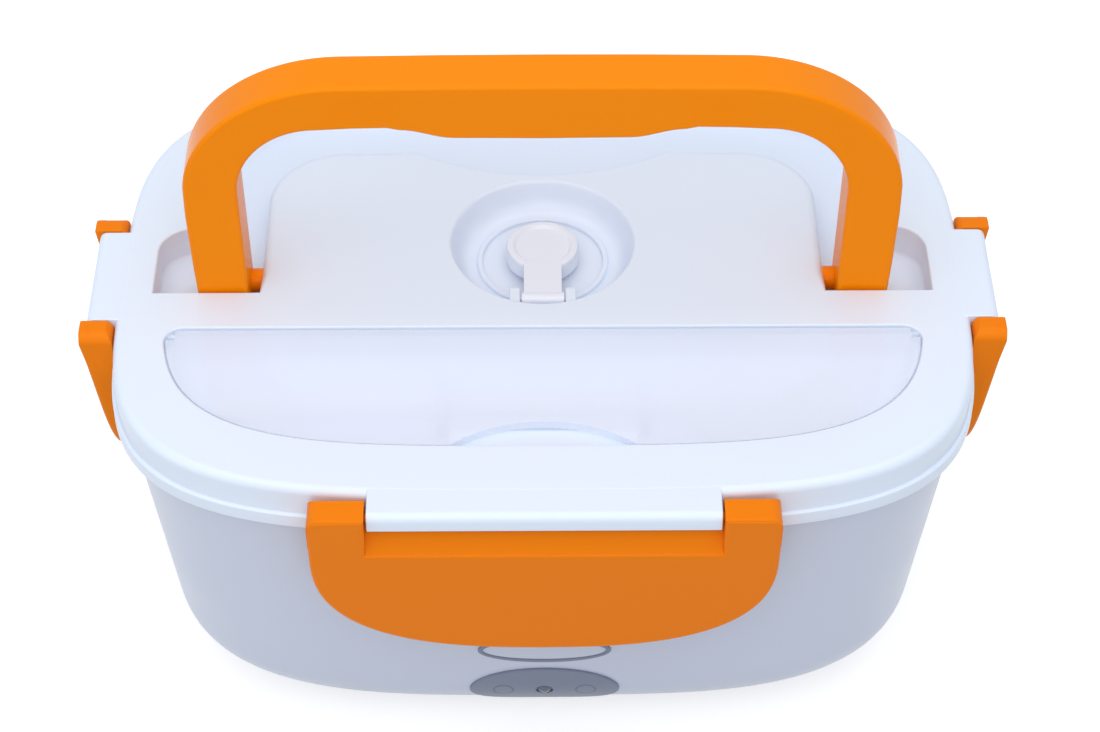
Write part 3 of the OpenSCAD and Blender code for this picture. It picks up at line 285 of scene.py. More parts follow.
def blend(tree, kind, share, a, b):
    """Two numbers or two colours mixed by a share."""
    return place(tree, "ShaderNodeMix", {
        "Factor": share, "A": a, "B": b}, data_type=kind).outputs["Result"]


def skin_group(name, colors, numbers, vectors):
    """An empty skin of a material: its group, inputs, results and place on the piece."""
    group, given, end = new_group(
        name, "ShaderNodeTree", {"Color": colors, "Float": numbers, "Vector": vectors},
        {"Color": {"Color": None}, "Float": {"Roughness": None}, "Vector": {"Normal": None}})
    return group, given, end, group.nodes.new("ShaderNodeTexCoord").outputs["Object"]


def close_skin(group, end, color, gloss, wear, strength, depth, relief):
    """Leads a skin's colour, its gloss with the wear added, and its relief out of its group."""
    rough = calc(group, "ADD", gloss, wear, clamp=True)
    bump = place(group, "ShaderNodeBump", {"Strength": strength, "Distance": depth, "Height": relief})
    for title, result in (("Color", color), ("Roughness", rough), ("Normal", bump.outputs["Normal"])):
        group.links.new(result, end[title])
    return group


def moulded_group():
    """Moulded plastic: a fine grain, slow tone changes, faint scuffs; gives colour, gloss, normal."""
    group, given, end, where = skin_group(
        "moulded_skin", {"Color": (0.8, 0.8, 0.8, 1), "Shade": (0.7, 0.7, 0.7, 1)},
        {"Gloss Roughness": 0.25, "Grain Scale": 900.0, "Grain Height": 0.03, "Scuffs": 0.1}, {})
    tone = spread(group, noise(group, where, 7.0, 0.5), 0.2, 0.9)
    # Faint scuffs that only change the gloss
    drawn = stretched(group, where, (1.0, 0.12, 1.0), (0.0, 0.4, 0.6))
    scuff = spread(group, noise(group, drawn, 60.0, 0.0), 0.1, 1.0)
    return close_skin(group, end, blend(group, "RGBA", tone, given["Color"], given["Shade"]),
                      given["Gloss Roughness"], calc(group, "MULTIPLY", scuff, given["Scuffs"]),
                      given["Grain Height"], 0.0004, noise(group, where, given["Grain Scale"], 2.0))


MOULDED = moulded_group()


def srgb(r, g, b):
    """A colour written as 0-255 screen values."""
    def linear(v):
        """One screen value as an amount of light."""
        v /= 255
        return v / 12.92 if v <= 0.04045 else ((v + 0.055) / 1.055) ** 2.4
    return linear(r), linear(g), linear(b), 1.0


def skinned(name, skin, values, fixed):
    """A material that wears a skin with its own values, on a shader with a few fixed ones."""
    material = bpy.data.materials.new(name)
    material.use_nodes = True
    tree = material.node_tree
    shader = tree.nodes["Principled BSDF"]
    worn = tree.nodes.new("ShaderNodeGroup")
    worn.node_tree = skin
    for node, given in ((worn, values), (shader, fixed)):
        for key, value in given.items():
            node.inputs[key].default_value = value
    for result, socket in (("Color", "Base Color"), ("Roughness", "Roughness"), ("Normal", "Normal")):
        tree.links.new(worn.outputs[result], shader.inputs[socket])
    return material


def plastic(name, color, shade, roughness, grain=900.0, height=0.03, scuffs=0.1, specular=0.5):
    """Moulded plastic with its own colours and gloss."""
    return skinned(name, MOULDED, {
        "Color": color, "Shade": shade, "Gloss Roughness": roughness, "Grain Scale": grain,
        "Grain Height": height, "Scuffs": scuffs}, {"IOR": 1.48, "Specular IOR Level": specular})


# The body's own white, set darker than the lid's white as painted shade for its upright walls, which the
# lamp overhead lights less than the lid's top
BODY_WHITE_SHADED = plastic("body_white_painted_shade", srgb(206, 213, 230), srgb(201, 209, 227), 0.28, 1100.0, 0.02, 0.08)

# Wall section, from the pocket of the bottom cover up the inside, over the rim and down again
COVER_IN, COVER_POCKET, COVER_LEDGE, COVER_GAP, FLOOR_TOP, EDGE = 26.0, 2.1, 8.5, 0.15, 4.5, 0.6
edge_z = BODY_H - EDGE
section = [(COVER_IN - shift + BODY_DRAFT * h / BODY_H, h) for shift, h in (
    (COVER_GAP, 0.0), (COVER_GAP, COVER_POCKET), (-COVER_LEDGE, COVER_POCKET), (-COVER_LEDGE, FLOOR_TOP))]
section += [bowl_point(FLOOR_TOP + (BASE_ROUND - FLOOR_TOP) * k / 10, WALL, BASE_ROUND) for k in range(11)]
section += [(WALL, BASE_ROUND + (edge_z - BASE_ROUND) * k / 6) for k in range(1, 6)]
section += arc(WALL - EDGE, edge_z, EDGE, EDGE, 0, 90, 4) + arc(EDGE, edge_z, EDGE, EDGE, 90, 180, 4)
section += [(0.0, edge_z - (edge_z - BASE_ROUND) * k / 12) for k in range(1, 13)]
section += arc(BASE_ROUND, BASE_ROUND, BASE_ROUND, BASE_ROUND, 180, 270, 16)[1:]
shell = swept_pan(
    section, True, BODY_HALF, BODY_H, BODY_DRAFT, BASE_Z, (BASE_SQUARE, RIM_SQUARE), BODY_WHITE_SHADED)

# Ribs that the clips catch on, and the flat pad of the mains inlet
LID_HALF = (111.5, 80.4)
CATCH, CATCH_HALF = [(-4.4, 77.25), (0.8, 88.4), (0.8, 89.2), (-2.8, 91.5), (-4.4, 91.5)], (49, 17)


def add_bars(bm, profile, halves, bevel, segments):
    """Adds a bar along each side of the box, with its profile measured out from the lid's edge."""
    for side in (-1, 1):
        for skirt, half, axis in zip(reversed(LID_HALF), halves, "xy"):
            add_prism(bm, [(side * (skirt + u), z) for u, z in profile], -half, half, axis, bevel, segments)


add_bars(shell, CATCH, CATCH_HALF, 0.25, 2)
INLET_Z, PAD_HALF, PAD_IN, PAD_Y = 22.0, (20, 11.5), 62, 73.336
pad = round_box(-PAD_HALF[0], INLET_Z - PAD_HALF[1], PAD_HALF[0], INLET_Z + PAD_HALF[1], 4)
add_prism(shell, pad, PAD_IN, PAD_Y, "y", 0.6)
finish_piece(shell, "outer_shell_skin", "outer_shell", "base", BODY_WHITE_SHADED)

# ---- Indicator panel ----
# A grey oval film lies low on the front with bare ring marks, and the small round lens of the
# heating light shows through its middle, with its green board behind the wall. Above the film
# sits a bare oval plate with a grey rim, mostly behind the front clip.
PANEL_HALF, PANEL_Z, LENS_R, OVAL_STEPS = (20.0, 10.0), 20.5, 2.35, 96


def front_depth(x, z):
    """How far the body's front stands from the middle at x and height z."""
    h = z - BASE_Z
    inset, _ = bowl_point(h, 0, BASE_ROUND)
    lean = BODY_DRAFT * (1 - h / BODY_H) + inset
    n = BASE_SQUARE + (RIM_SQUARE - BASE_SQUARE) * h / BODY_H
    return (BODY_HALF[1] - lean) * (1 - (abs(x) / (BODY_HALF[0] - lean)) ** n) ** (1 / n)


def oval(a, b, steps, cx=0.0, cy=0.0):
    """Points round an ellipse with half axes a and b, anticlockwise."""
    return [(cx + a * cos(t), cy + b * sin(t)) for t in full_turn(steps)]


def add_rings(bm, rings, closed=False, capped=False):
    """Adds rings of (x, y, z) points in mm, the skin between them and, if capped, both ends."""
    count = len(rings[0])
    verts = [bm.verts.new((x * MM, y * MM, z * MM)) for ring in rings for x, y, z in ring]
    for quad in strip_faces(len(rings), count, closed):
        bm.faces.new([verts[i] for i in quad])
    if capped:
        bm.faces.new(verts[:count])
        bm.faces.new(verts[-count:])
    return verts


def oval_on_front(half, level, steps, closed, hole=()):
    """An oval on the body's front from (in from its edge, proud) steps and (radius, proud) of a hole."""
    outlines = [(oval(half[0] - edge, half[1] - edge, OVAL_STEPS), proud) for edge, proud in steps]
    outlines += [(oval(r, r, OVAL_STEPS), proud) for r, proud in hole]
    bm = bmesh.new()
    add_rings(bm, [[(x, -(front_depth(x, level + z) + proud), level + z) for x, z in outline]
                   for outline, proud in outlines], closed, not closed)
    return bm


panel = oval_on_front(PANEL_HALF, PANEL_Z, (
    (0.0, -0.3), (0.0, 0.35), (0.12, 0.58), (0.35, 0.7), (0.7, 0.75), (3.0, 0.75), (6.0, 0.75)), True,
    ((LENS_R, 0.75), (LENS_R, -0.3)))
FILM_GREY = plastic("film_grey", srgb(122, 132, 153), srgb(117, 127, 149), 0.38, 1400.0, 0.02, 0.06)
MARK_X, MARK_R, MARK_LINE, MARK_GREY = 11.0, 2.6, 0.3, srgb(92, 100, 122)
tree = FILM_GREY.node_tree
worn = next(n for n in tree.nodes if n.type == "GROUP")
where = tree.nodes.new("ShaderNodeTexCoord").outputs["Object"]
marks = []
for x in (-MARK_X, MARK_X):
    near = place(tree, "ShaderNodeMapping", {
        "Vector": where, "Location": (-x * MM, 0, -PANEL_Z * MM), "Scale": (1.0, 0.0, 1.0)})
    far = place(tree, "ShaderNodeVectorMath", {0: near.outputs["Vector"]}, operation="LENGTH")
    marks.append(place(tree, "ShaderNodeMath", {
        0: far.outputs["Value"], 1: MARK_R * MM, 2: MARK_LINE * MM}, operation="COMPARE").outputs[0])
printed = blend(tree, "RGBA", calc(tree, "MAXIMUM", *marks), worn.outputs["Color"], MARK_GREY)
tree.links.new(printed, tree.nodes["Principled BSDF"].inputs["Base Color"])
finish_piece(panel, "indicator_film", "indicator_panel", "base", FILM_GREY)

PLATE_HALF, PLATE_Z = (17.5, 5.4), 38.9
for name, slot, material, steps in (
        ("oval_plate", "white_plastic", BODY_WHITE_SHADED,
         ((1.3, -0.3), (1.3, 0.2), (1.5, 0.3), (3.4, 0.3), (5.3, 0.3))),
        ("oval_rim", "grey_film", FILM_GREY,
         ((1.3, 0.1), (1.3, 0.45), (1.1, 0.5), (0.3, 0.5), (0.0, 0.35), (0.0, -0.3), (1.3, -0.3)))):
    bare_oval = oval_on_front(PLATE_HALF, PLATE_Z, steps, name == "oval_rim")
    finish_piece(bare_oval, name, None, "base", material)


def dress(node, material):
    """Gives a CAD node its finished material."""
    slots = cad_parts[node].data.materials
    slots.clear()
    slots.append(material)


LENS = plastic("lens_smoked", srgb(92, 98, 116), srgb(84, 90, 108), 0.12, 600.0, 0.01, 0.03)
LENS.node_tree.nodes["Principled BSDF"].inputs["Coat Weight"].default_value = 0.4
dress("indicator_light", LENS)
dress("indicator_board", plastic("board_green", srgb(38, 104, 62), srgb(30, 92, 54), 0.35, 500.0, 0.06, 0.1))

# ---- Bottom cover, feet and screws ----
# A flat white cover closes the base. Four screws hold it, and the box stands on four moulded
# rubber feet, each with a shallow ring turned into its sole.
dress("bottom_cover", BODY_WHITE_SHADED)


def turned(profile, steps):
    """A body turned about Z from (radius, height) points in mm, closed at both ends."""
    bm = bmesh.new()
    add_rings(bm, [[(x, y, z) for x, y in oval(r, r, steps)] for r, z in profile], capped=True)
    bmesh.ops.recalc_face_normals(bm, faces=bm.faces)
    return bm


def spread_tree():
    """Sets a piece out on a grid, each turned by chance about its axis, then tilts the grid."""
    tree, given, end = new_group("set_out", "GeometryNodeTree", {
        "Geometry": {"Piece": None}, "Int": {"Across": 2, "Along": 2, "Seed": 4},
        "Float": {"Pitch Across": 0.05, "Pitch Along": 0.05}, "Vector": {"Middle": None, "Tilt": None},
        "Material": {"Finish": None}}, {"Geometry": {"Pieces": None}})
    grid = place(tree, "GeometryNodeMeshGrid", {
        "Size X": given["Pitch Across"], "Size Y": given["Pitch Along"],
        "Vertices X": given["Across"], "Vertices Y": given["Along"]})
    chance = place(tree, "FunctionNodeRandomValue", {"Seed": given["Seed"]}, data_type="FLOAT")
    turn = place(tree, "ShaderNodeCombineXYZ", {"Z": calc(tree, "MULTIPLY", chance.outputs[1], 2 * pi)})
    laid = place(tree, "GeometryNodeInstanceOnPoints", {
        "Points": grid.outputs["Mesh"], "Instance": given["Piece"], "Rotation": turn.outputs[0]})
    tilted = place(tree, "GeometryNodeTransform", {
        "Geometry": laid.outputs[0], "Translation": given["Middle"], "Rotation": given["Tilt"]})
    return close_tree(tree, tilted.outputs[0], given, end["Pieces"])


SPREAD_TREE = spread_tree()


def set_out(piece, across, along, pitch, middle, tilt, seed, finish):
    """The turned piece repeated on a grid, as one mesh."""
    return opened(run_tree(SPREAD_TREE, closed_up(piece, "one"), {
        "Across": across, "Along": along, "Pitch Across": pitch[0] * MM, "Pitch Along": pitch[1] * MM,
        "Middle": [v * MM for v in middle], "Tilt": [radians(v) for v in tilt], "Seed": seed,
        "Finish": finish}))


RUBBER = plastic("foot_rubber", srgb(68, 68, 71), srgb(58, 58, 61), 0.75, 500.0, 0.12, 0.1, 0.3)
FOOT = [(2.2, 0.5), (2.6, 0.0), (5.0, 0.0), (5.6, 0.15), (6.2, 0.5), (6.45, 0.9), (6.5, 2.0)]
feet = set_out(turned(FOOT, 48), 2, 2, (116.0, 55.8), (0, 0, 0), (0, 0, 0), 1, RUBBER)
finish_piece(feet, "rubber_feet", "foot_pads", "base", RUBBER)


def metal_group():
    """Worked metal: fine lines left by the tool, soft stains; gives colour, gloss and normal."""
    group, given, end, where = skin_group(
        "worked_metal", {"Color": (0.7, 0.7, 0.7, 1), "Stain": (0.5, 0.5, 0.5, 1)},
        {"Gloss Roughness": 0.3, "Line Height": 0.1, "Turned": 0.0}, {"Line Stretch": (1.0, 0.05, 1.0)})
    lines = noise(group, stretched(group, where, given["Line Stretch"]), 1500.0, 3.0)
    rings = place(group, "ShaderNodeTexWave", {
        "Vector": where, "Scale": 260.0, "Distortion": 0.6, "Detail": 2.0},
        wave_type="RINGS", rings_direction="Z").outputs["Fac"]
    tool = blend(group, "FLOAT", given["Turned"], lines, rings)
    tone = spread(group, noise(group, where, 45.0, 4.0), 0.45, 0.8)
    return close_skin(group, end, blend(group, "RGBA", tone, given["Color"], given["Stain"]),
                      given["Gloss Roughness"], calc(group, "MULTIPLY", tool, 0.16),
                      given["Line Height"], 0.0003, tool)


WORKED = metal_group()


def metal(name, color, stain, roughness, stretch=(1.0, 0.05, 1.0), height=0.1, rings=0.0):
    """Bare metal with brushed lines, or with rings where it was turned."""
    return skinned(name, WORKED, {
        "Color": color, "Stain": stain, "Gloss Roughness": roughness, "Line Stretch": stretch,
        "Line Height": height, "Turned": rings}, {"Metallic": 1.0})


SCREW_STEEL = metal("screw_steel", srgb(196, 198, 202), srgb(168, 170, 176), 0.22, (1.0, 1.0, 0.1), 0.06)
HEAD_R, SHANK_R, HEAD_H, THREAD_Z, THREAD_STEP, THREAD_DEEP = 2.5, 1.1, 1.6, 1.9, 0.35, 0.22
CROSS_ARM, CROSS_W, CROSS_DEEP = 1.5, 0.55, 0.9


def cross_screw(length):
    """A pan-head screw with a cross recess and a running thread, head down at z = 0."""
    thread = [(SHANK_R - THREAD_DEEP * (k % 2), THREAD_Z + k * THREAD_STEP)
              for k in range(int((length - 3.2) / THREAD_STEP))]
    screw = turned([(0.6, 0.0), (1.9, 0.0), (2.25, 0.15), (HEAD_R, 0.55), (HEAD_R, 1.35), (2.3, HEAD_H),
                    (SHANK_R, HEAD_H)] + thread + [(0.7, length - 0.8), (0.2, length)], 32)
    w, a = CROSS_W / 2, CROSS_ARM
    cross = [(x * c - y * s, x * s + y * c) for c, s in ((1, 0), (0, 1), (-1, 0), (0, -1))
             for x, y in ((a, -w), (a, w), (w, w))]
    cutter = bmesh.new()
    add_prism(cutter, cross, -1.0, CROSS_DEEP, "z")
    blank, cutter = (put_in_scene(name, closed_up(part, name)) for part, name in (
        (screw, "screw_blank"), (cutter, "cross_cutter")))
    cut = blank.modifiers.new("cross", "BOOLEAN")
    cut.operation, cut.object, cut.solver = "DIFFERENCE", cutter, "EXACT"
    made = bpy.data.meshes.new_from_object(blank.evaluated_get(bpy.context.evaluated_depsgraph_get()))
    for solid in (blank, cutter):
        bpy.data.objects.remove(solid)
    return opened(made)


base_screws = set_out(cross_screw(10.0), 2, 2, (71.52, 77.2), (0, 0, 1.4), (0, 0, 0), 3, SCREW_STEEL)
finish_piece(base_screws, "cover_screws", "bottom_screws", "base", SCREW_STEEL)

# ---- Chamber liner ----
# The food sits in a pan drawn from aluminium sheet. Its flange rests inside the shell's rim, and a
# round hole in its floor lets the heater plate touch the container.
ALUMINIUM = metal("drawn_aluminium", srgb(206, 208, 212), srgb(186, 189, 195), 0.34, (1.0, 1.0, 0.06), 0.08)
LINER_Z, LINER_T, LINER_H, LINER_HALF, LINER_R = 24.2, 1.8, 62.7, (100.03, 68.93), 13.8
FLANGE_OUT, HOLE_R, POST_X, POST_R, POST_FOOT = 6.17, 40.0, 48, 4, 16.8
PAN_DRAFT, PAN_SQUARE = 5.5, (3.6, 3.6)


def pan_section(radius, wall, floor, levels, rim):
    """A deep pan's wall section: up its outside, over its rim and down its inside."""
    inner = radius - floor
    return (arc(radius, radius, radius, radius, 270, 180, 10) + [(0.0, z) for z in levels] + rim
            + [(wall, z) for z in reversed(levels)]
            + arc(wall + inner, floor + inner, inner, inner, 180, 270, 10))


inner_in, top = LINER_T + PAN_DRAFT * LINER_T / LINER_H, LINER_H + LINER_T
liner_rim = [(0.0, LINER_H - 0.8), (-0.3, LINER_H - 0.2), (-0.8, LINER_H),
             (-FLANGE_OUT + 0.3, LINER_H), (-FLANGE_OUT, LINER_H + 0.3), (-FLANGE_OUT, LINER_H + 1.5),
             (-FLANGE_OUT + 0.3, top), (inner_in - 1.2, top), (inner_in - 0.35, top - 0.35),
             (inner_in, top - 1.2)]
section = pan_section(LINER_R, inner_in, LINER_T, [30.0, 50.0], liner_rim)
liner = swept_pan(section, False, LINER_HALF, LINER_H, PAN_DRAFT, LINER_Z, PAN_SQUARE, ALUMINIUM)
rim_low, rim_high = list(liner.verts)[:ROUND_STEPS], list(liner.verts)[-ROUND_STEPS:]
hole = [[liner.verts.new((x * MM, y * MM, z * MM)) for x, y in oval(HOLE_R, HOLE_R, ROUND_STEPS)]
        for z in (LINER_Z, LINER_Z + LINER_T)]
for ring_a, ring_b in ((rim_low, hole[0]), (hole[0], hole[1]), (hole[1], rim_high)):
    for i in range(ROUND_STEPS):
        j = (i + 1) % ROUND_STEPS
        liner.faces.new((ring_a[i], ring_a[j], ring_b[j], ring_b[i]))
for side in (-1, 1):
    add_prism(liner, oval(POST_R, POST_R, 32, side * POST_X), POST_FOOT, LINER_Z + 0.05, "z", 0.3, 2)
finish_piece(liner, "drawn_liner", "chamber_liner", "base", ALUMINIUM)

# ---- Heater ----
# A turned aluminium plate fills the hole in the liner's floor. A ceramic element is clamped under
# it by a pressed steel strap with two screws, beside the thermostat and the thermal fuse.
dress("heater_plate", metal(
    "turned_plate", srgb(200, 202, 207), srgb(178, 181, 188), 0.26, height=0.2, rings=1.0))
dress("heating_element", plastic(
    "ceramic_element", srgb(222, 218, 205), srgb(205, 199, 183), 0.6, 380.0, 0.12, 0.2))
dress("heater_clamp", metal(
    "strap_steel", srgb(178, 180, 184), srgb(150, 150, 154), 0.34, (0.05, 1.0, 1.0), 0.12))
dress("thermostat", plastic("thermostat_black", srgb(48, 48, 51), srgb(40, 40, 43), 0.5, 420.0, 0.1, 0.1))
dress("thermal_fuse", metal(
    "fuse_brass", srgb(214, 190, 132), srgb(190, 160, 100), 0.3, (0.1, 1.0, 1.0), 0.08))
clamp_screws = set_out(cross_screw(7.0), 2, 1, (96.0, 0.0), (0, 0, 14.0), (0, 0, 0), 8, SCREW_STEEL)
finish_piece(clamp_screws, "strap_screws", "clamp_screws", "base", SCREW_STEEL)


def felt():
    """Pressed glass fibre: crossing strands of two scales over a woolly ground."""
    material = bpy.data.materials.new("fibre_felt")
    material.use_nodes = True
    tree = material.node_tree
    where = tree.nodes.new("ShaderNodeTexCoord").outputs["Object"]
    strands = calc(tree, "MAXIMUM", *(
        noise(tree, stretched(tree, where, stretch, (0, 0, 0.5)), size, 4.0)
        for stretch, size in (((1.0, 0.12, 1.0), 900.0), ((0.12, 1.0, 1.0), 760.0))))
    shader = tree.nodes["Principled BSDF"]
    bump = place(tree, "ShaderNodeBump", {"Strength": 0.5, "Distance": 0.0006, "Height": strands})
    tree.links.new(blend(tree, "RGBA", strands, srgb(182, 170, 146), srgb(226, 218, 200)),
                   shader.inputs["Base Color"])
    tree.links.new(bump.outputs["Normal"], shader.inputs["Normal"])
    shader.inputs["Roughness"].default_value = 0.95
    return material


dress("insulation_pad", felt())

# ---- Power inlet ----
# A black socket with two brass pins sits in the back wall behind two screws. A white flap hinged
# above it keeps water out.
dress("power_inlet", plastic("inlet_black", srgb(44, 44, 47), srgb(37, 37, 40), 0.42, 800.0, 0.06, 0.12))
dress("inlet_pins", metal("pin_brass", srgb(222, 196, 134), srgb(198, 168, 104), 0.2, (1.0, 0.1, 1.0), 0.05))
inlet_screws = set_out(cross_screw(8.0), 2, 1, (28.0, 0.0), (0, 75.936, INLET_Z), (90, 0, 0), 5, SCREW_STEEL)
finish_piece(inlet_screws, "socket_screws", "inlet_screws", "base", SCREW_STEEL)


def finish_node(node, name, body, material, width, segments=2, angle=25):
    """Finishes a copy of a CAD node's mesh with its flat faces joined and its edges rounded."""
    bm = opened(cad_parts[node].data)
    bmesh.ops.remove_doubles(bm, verts=bm.verts, dist=0.005 * MM)
    bmesh.ops.dissolve_limit(bm, angle_limit=radians(1.0), verts=bm.verts, edges=bm.edges)
    round_edges(bm, width, segments, angle)
    finish_piece(bm, name, node, body, material, recalc=False)


finish_node("inlet_cover", "inlet_flap", "inlet_cover", BODY_WHITE_SHADED, 0.25)

# ---- Lead wires ----
# Silicone-sleeved wires run inside the base: a red pair from the inlet's blades to the element's
# tabs, and a blue pair from the tabs on to the light's board.
WIRE_R, WIRE_STEPS = 0.9, 40
WIRE_POINTS = ("Start", "Start Pull", "End Pull", "End")


def wire_tree():
    """A round wire along one curve, and its mirror image on the other side."""
    tree, given, end = new_group("wire_pair", "GeometryNodeTree", {
        "Geometry": {"Start Mesh": None}, "Vector": {name: None for name in WIRE_POINTS},
        "Float": {"Radius": 0.0009}, "Int": {"Steps": 40}, "Material": {"Finish": None}},
        {"Geometry": {"Wires": None}})
    path = place(tree, "GeometryNodeCurvePrimitiveBezierSegment", {
        "Resolution": given["Steps"], "Start": given["Start"], "Start Handle": given["Start Pull"],
        "End Handle": given["End Pull"], "End": given["End"]}, mode="POSITION")
    round_cut = place(tree, "GeometryNodeCurvePrimitiveCircle", {
        "Resolution": 16, "Radius": given["Radius"]}, mode="RADIUS")
    tube = place(tree, "GeometryNodeCurveToMesh", {
        "Curve": path.outputs[0], "Profile Curve": round_cut.outputs[0], "Fill Caps": True})
    other = place(tree, "GeometryNodeTransform", {"Geometry": tube.outputs[0], "Scale": (-1.0, 1.0, 1.0)})
    outward_again = place(tree, "GeometryNodeFlipFaces", {"Mesh": other.outputs[0]})
    pair = tree.nodes.new("GeometryNodeJoinGeometry")
    for half in (tube, outward_again):
        tree.links.new(half.outputs[0], pair.inputs[0])
    return close_tree(tree, pair.outputs[0], given, end["Wires"])


WIRE_TREE = wire_tree()
SLEEVE_RED = plastic("sleeve_red", srgb(186, 46, 40), srgb(170, 38, 34), 0.5, 700.0, 0.08, 0.1)
SLEEVE_BLUE = plastic("sleeve_blue", srgb(58, 84, 168), srgb(48, 72, 152), 0.5, 700.0, 0.08, 0.1)
both_pairs = bmesh.new()
for number, (finish, points) in enumerate((
        (SLEEVE_RED, ((4.3, 60.836, 20.6), (4.3, 40, 11), (31.5, 28, 11), (31.5, 7.5, 17.8))),
        (SLEEVE_BLUE, ((30.5, 9, 20.6), (106, 14, 20.1), (5, -36, 12), (5, -61.797, 20.5))))):
    route = {name: [v * MM for v in p] for name, p in zip(WIRE_POINTS, points)}
    made = run_tree(WIRE_TREE, bpy.data.meshes.new("start"), {
        **route, "Radius": WIRE_R * MM, "Steps": WIRE_STEPS, "Finish": finish})
    for face in made.polygons:
        face.material_index = number
    both_pairs.from_mesh(made)
bmesh.ops.recalc_face_normals(both_pairs, faces=both_pairs.faces)
wires = closed_up(both_pairs, "lead_wires")
wires.shade_smooth()
wires.set_sharp_from_angle(angle=radians(50))
wires.materials.append(SLEEVE_RED)
wires.materials.append(SLEEVE_BLUE)
wire_piece = put_in_scene("sleeved_wires", wires)
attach(wire_piece, "base")
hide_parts("lead_wires")

# ---- Food container ----
# The container lifts out: one white polypropylene tray, 61 mm deep with 1.6 mm walls and a rim
# that hangs over the liner's flange.
TRAY_WHITE = plastic("tray_white", srgb(232, 237, 246), srgb(226, 232, 243), 0.22, 700.0, 0.03, 0.15)
TRAY_Z, TRAY_H, TRAY_HALF, TRAY_R, TRAY_WALL = 27.7, 61.15, (97.43, 66.33), 12.0, 1.6
RIM_OUT, RIM_T = 3.8, 1.4
top = TRAY_H + RIM_T
tray_rim = [(0.0, TRAY_H - 0.6), (-0.2, TRAY_H - 0.15), (-0.6, TRAY_H),
            (-RIM_OUT + 0.3, TRAY_H), (-RIM_OUT, TRAY_H + 0.3), (-RIM_OUT, top - 0.5),
            (-RIM_OUT + 0.15, top - 0.15), (-RIM_OUT + 0.5, top), (TRAY_WALL - 1.0, top),
            (TRAY_WALL - 0.3, top - 0.3), (TRAY_WALL, top - 1.0)]
section = pan_section(TRAY_R, TRAY_WALL, TRAY_WALL, [26.0, 44.0], tray_rim)
tray = swept_pan(section, False, TRAY_HALF, TRAY_H, PAN_DRAFT, TRAY_Z, PAN_SQUARE, TRAY_WHITE)
tray_points = list(tray.verts)
tray.faces.new(tray_points[:ROUND_STEPS])
tray.faces.new(tray_points[-ROUND_STEPS:])
finish_piece(tray, "food_tray", "food_container", "container", TRAY_WHITE)

# ---- Side dish box ----
# A small box for side dishes stands in the container. Its lid presses on, with a skirt round the
# box's edge and a raised bead on top.
SIDE_CAP_WHITE = plastic("side_cap_white", srgb(236, 241, 248), srgb(230, 236, 246), 0.25, 800.0, 0.03, 0.12)
finish_node("side_dish_box", "side_box_tray", "side_box", TRAY_WHITE, 0.4, angle=40)
finish_node("side_dish_lid", "side_box_cap", "side_box_lid", SIDE_CAP_WHITE, 0.3)

# ---- Lid ----
# The lid is a second white moulding, 223 x 161 mm and 13 mm tall, with a proud lip at its foot.
# Its top carries a channel for the folded handle round a raised middle, a round vent dish and a
# D-shaped cutlery recess, and four tongues at its edge carry the clips.
LID_Z, LIP_Z, LID_SQUARE, LID_ROUND = 106.0, 93.0, 3.8, 2.2
LID_WHITE = plastic("lid_white", srgb(230, 240, 254), srgb(227, 237, 252), 0.28, 1000.0, 0.02, 0.03)
OUTLINE_GAP = 4.0


def squircle(a, b, n, turns):
    """Points of a superellipse with half axes a and b at the given angles."""
    def power(v):
        """A sine or cosine bent to the outline's squareness."""
        return (1 if v >= 0 else -1) * abs(v) ** (2 / n)
    return [(a * power(cos(t)), b * power(sin(t))) for t in turns]


def lid_outline(offset):
    """The lid's outline, moved out by an offset."""
    return squircle(LID_HALF[0] + offset, LID_HALF[1] + offset, LID_SQUARE, full_turn(ROUND_STEPS))


def mirrored(points):
    """The points on the other side of the middle, in reverse order."""
    return [(-x, y) for x, y in reversed(points)]


def held(value):
    """The value, held between 0 and 1."""
    return min(1.0, max(0.0, value))


def spaced(points):
    """The closed outline with its points no further apart than the outline gap."""
    result = []
    for i, p in enumerate(points):
        q = points[(i + 1) % len(points)]
        length = sqrt((q[0] - p[0]) ** 2 + (q[1] - p[1]) ** 2)
        if length < 1e-4:
            continue
        parts = max(1, int(length / OUTLINE_GAP + 0.999))
        result += [(p[0] + (q[0] - p[0]) * k / parts, p[1] + (q[1] - p[1]) * k / parts)
                   for k in range(parts)]
    return result


def outward(points):
    """Mitred normals of an anticlockwise outline, pointing out of it."""
    normals = []
    for i in range(len(points)):
        p, q, r = Vector(points[i - 1]), Vector(points[i]), Vector(points[(i + 1) % len(points)])
        a, b = (q - p).normalized(), (r - q).normalized()
        n = Vector((a.y + b.y, -a.x - b.x))
        n.normalize()
        normals.append(n / max(0.6, n.dot(Vector((a.y, -a.x)))))
    return normals


def moved(points, normals, distance, z):
    """The outline moved out by a distance, or by one distance for each point, at height z."""
    far = distance if isinstance(distance, list) else [distance] * len(points)
    high = z if isinstance(z, list) else [z] * len(points)
    return [(p[0] + n.x * d, p[1] + n.y * d, h) for p, n, d, h in zip(points, normals, far, high)]


def recess_rings(points, top_round, floor_z, floor_round, ledge=None):
    """Rings of a recess from the lid's top over a rounded edge, down its wall to its floor."""
    normals = outward(points)
    edge = top_round if isinstance(top_round, list) else [top_round] * len(points)
    quarter = [radians(18 * k) for k in range(6)]
    result = [moved(points, normals, [r * (1 - sin(t)) for r in edge],
                    [LID_Z - r * (1 - cos(t)) for r in edge]) for t in quarter]
    inset = [0.0] * len(points)
    if ledge:
        inset, ledge_z = ledge
        result.append(moved(points, normals, 0.0, ledge_z))
        result.append(moved(points, normals, [-d for d in inset], ledge_z))
    return result + [moved(points, normals, [-d - floor_round * (1 - cos(t)) for d in inset],
                           floor_z + floor_round * (1 - sin(t))) for t in quarter]


def add_bowl(bm, rings):
    """Adds rings and closes the last of them with a flat floor."""
    bm.faces.new(add_rings(bm, rings)[-len(rings[-1]):])


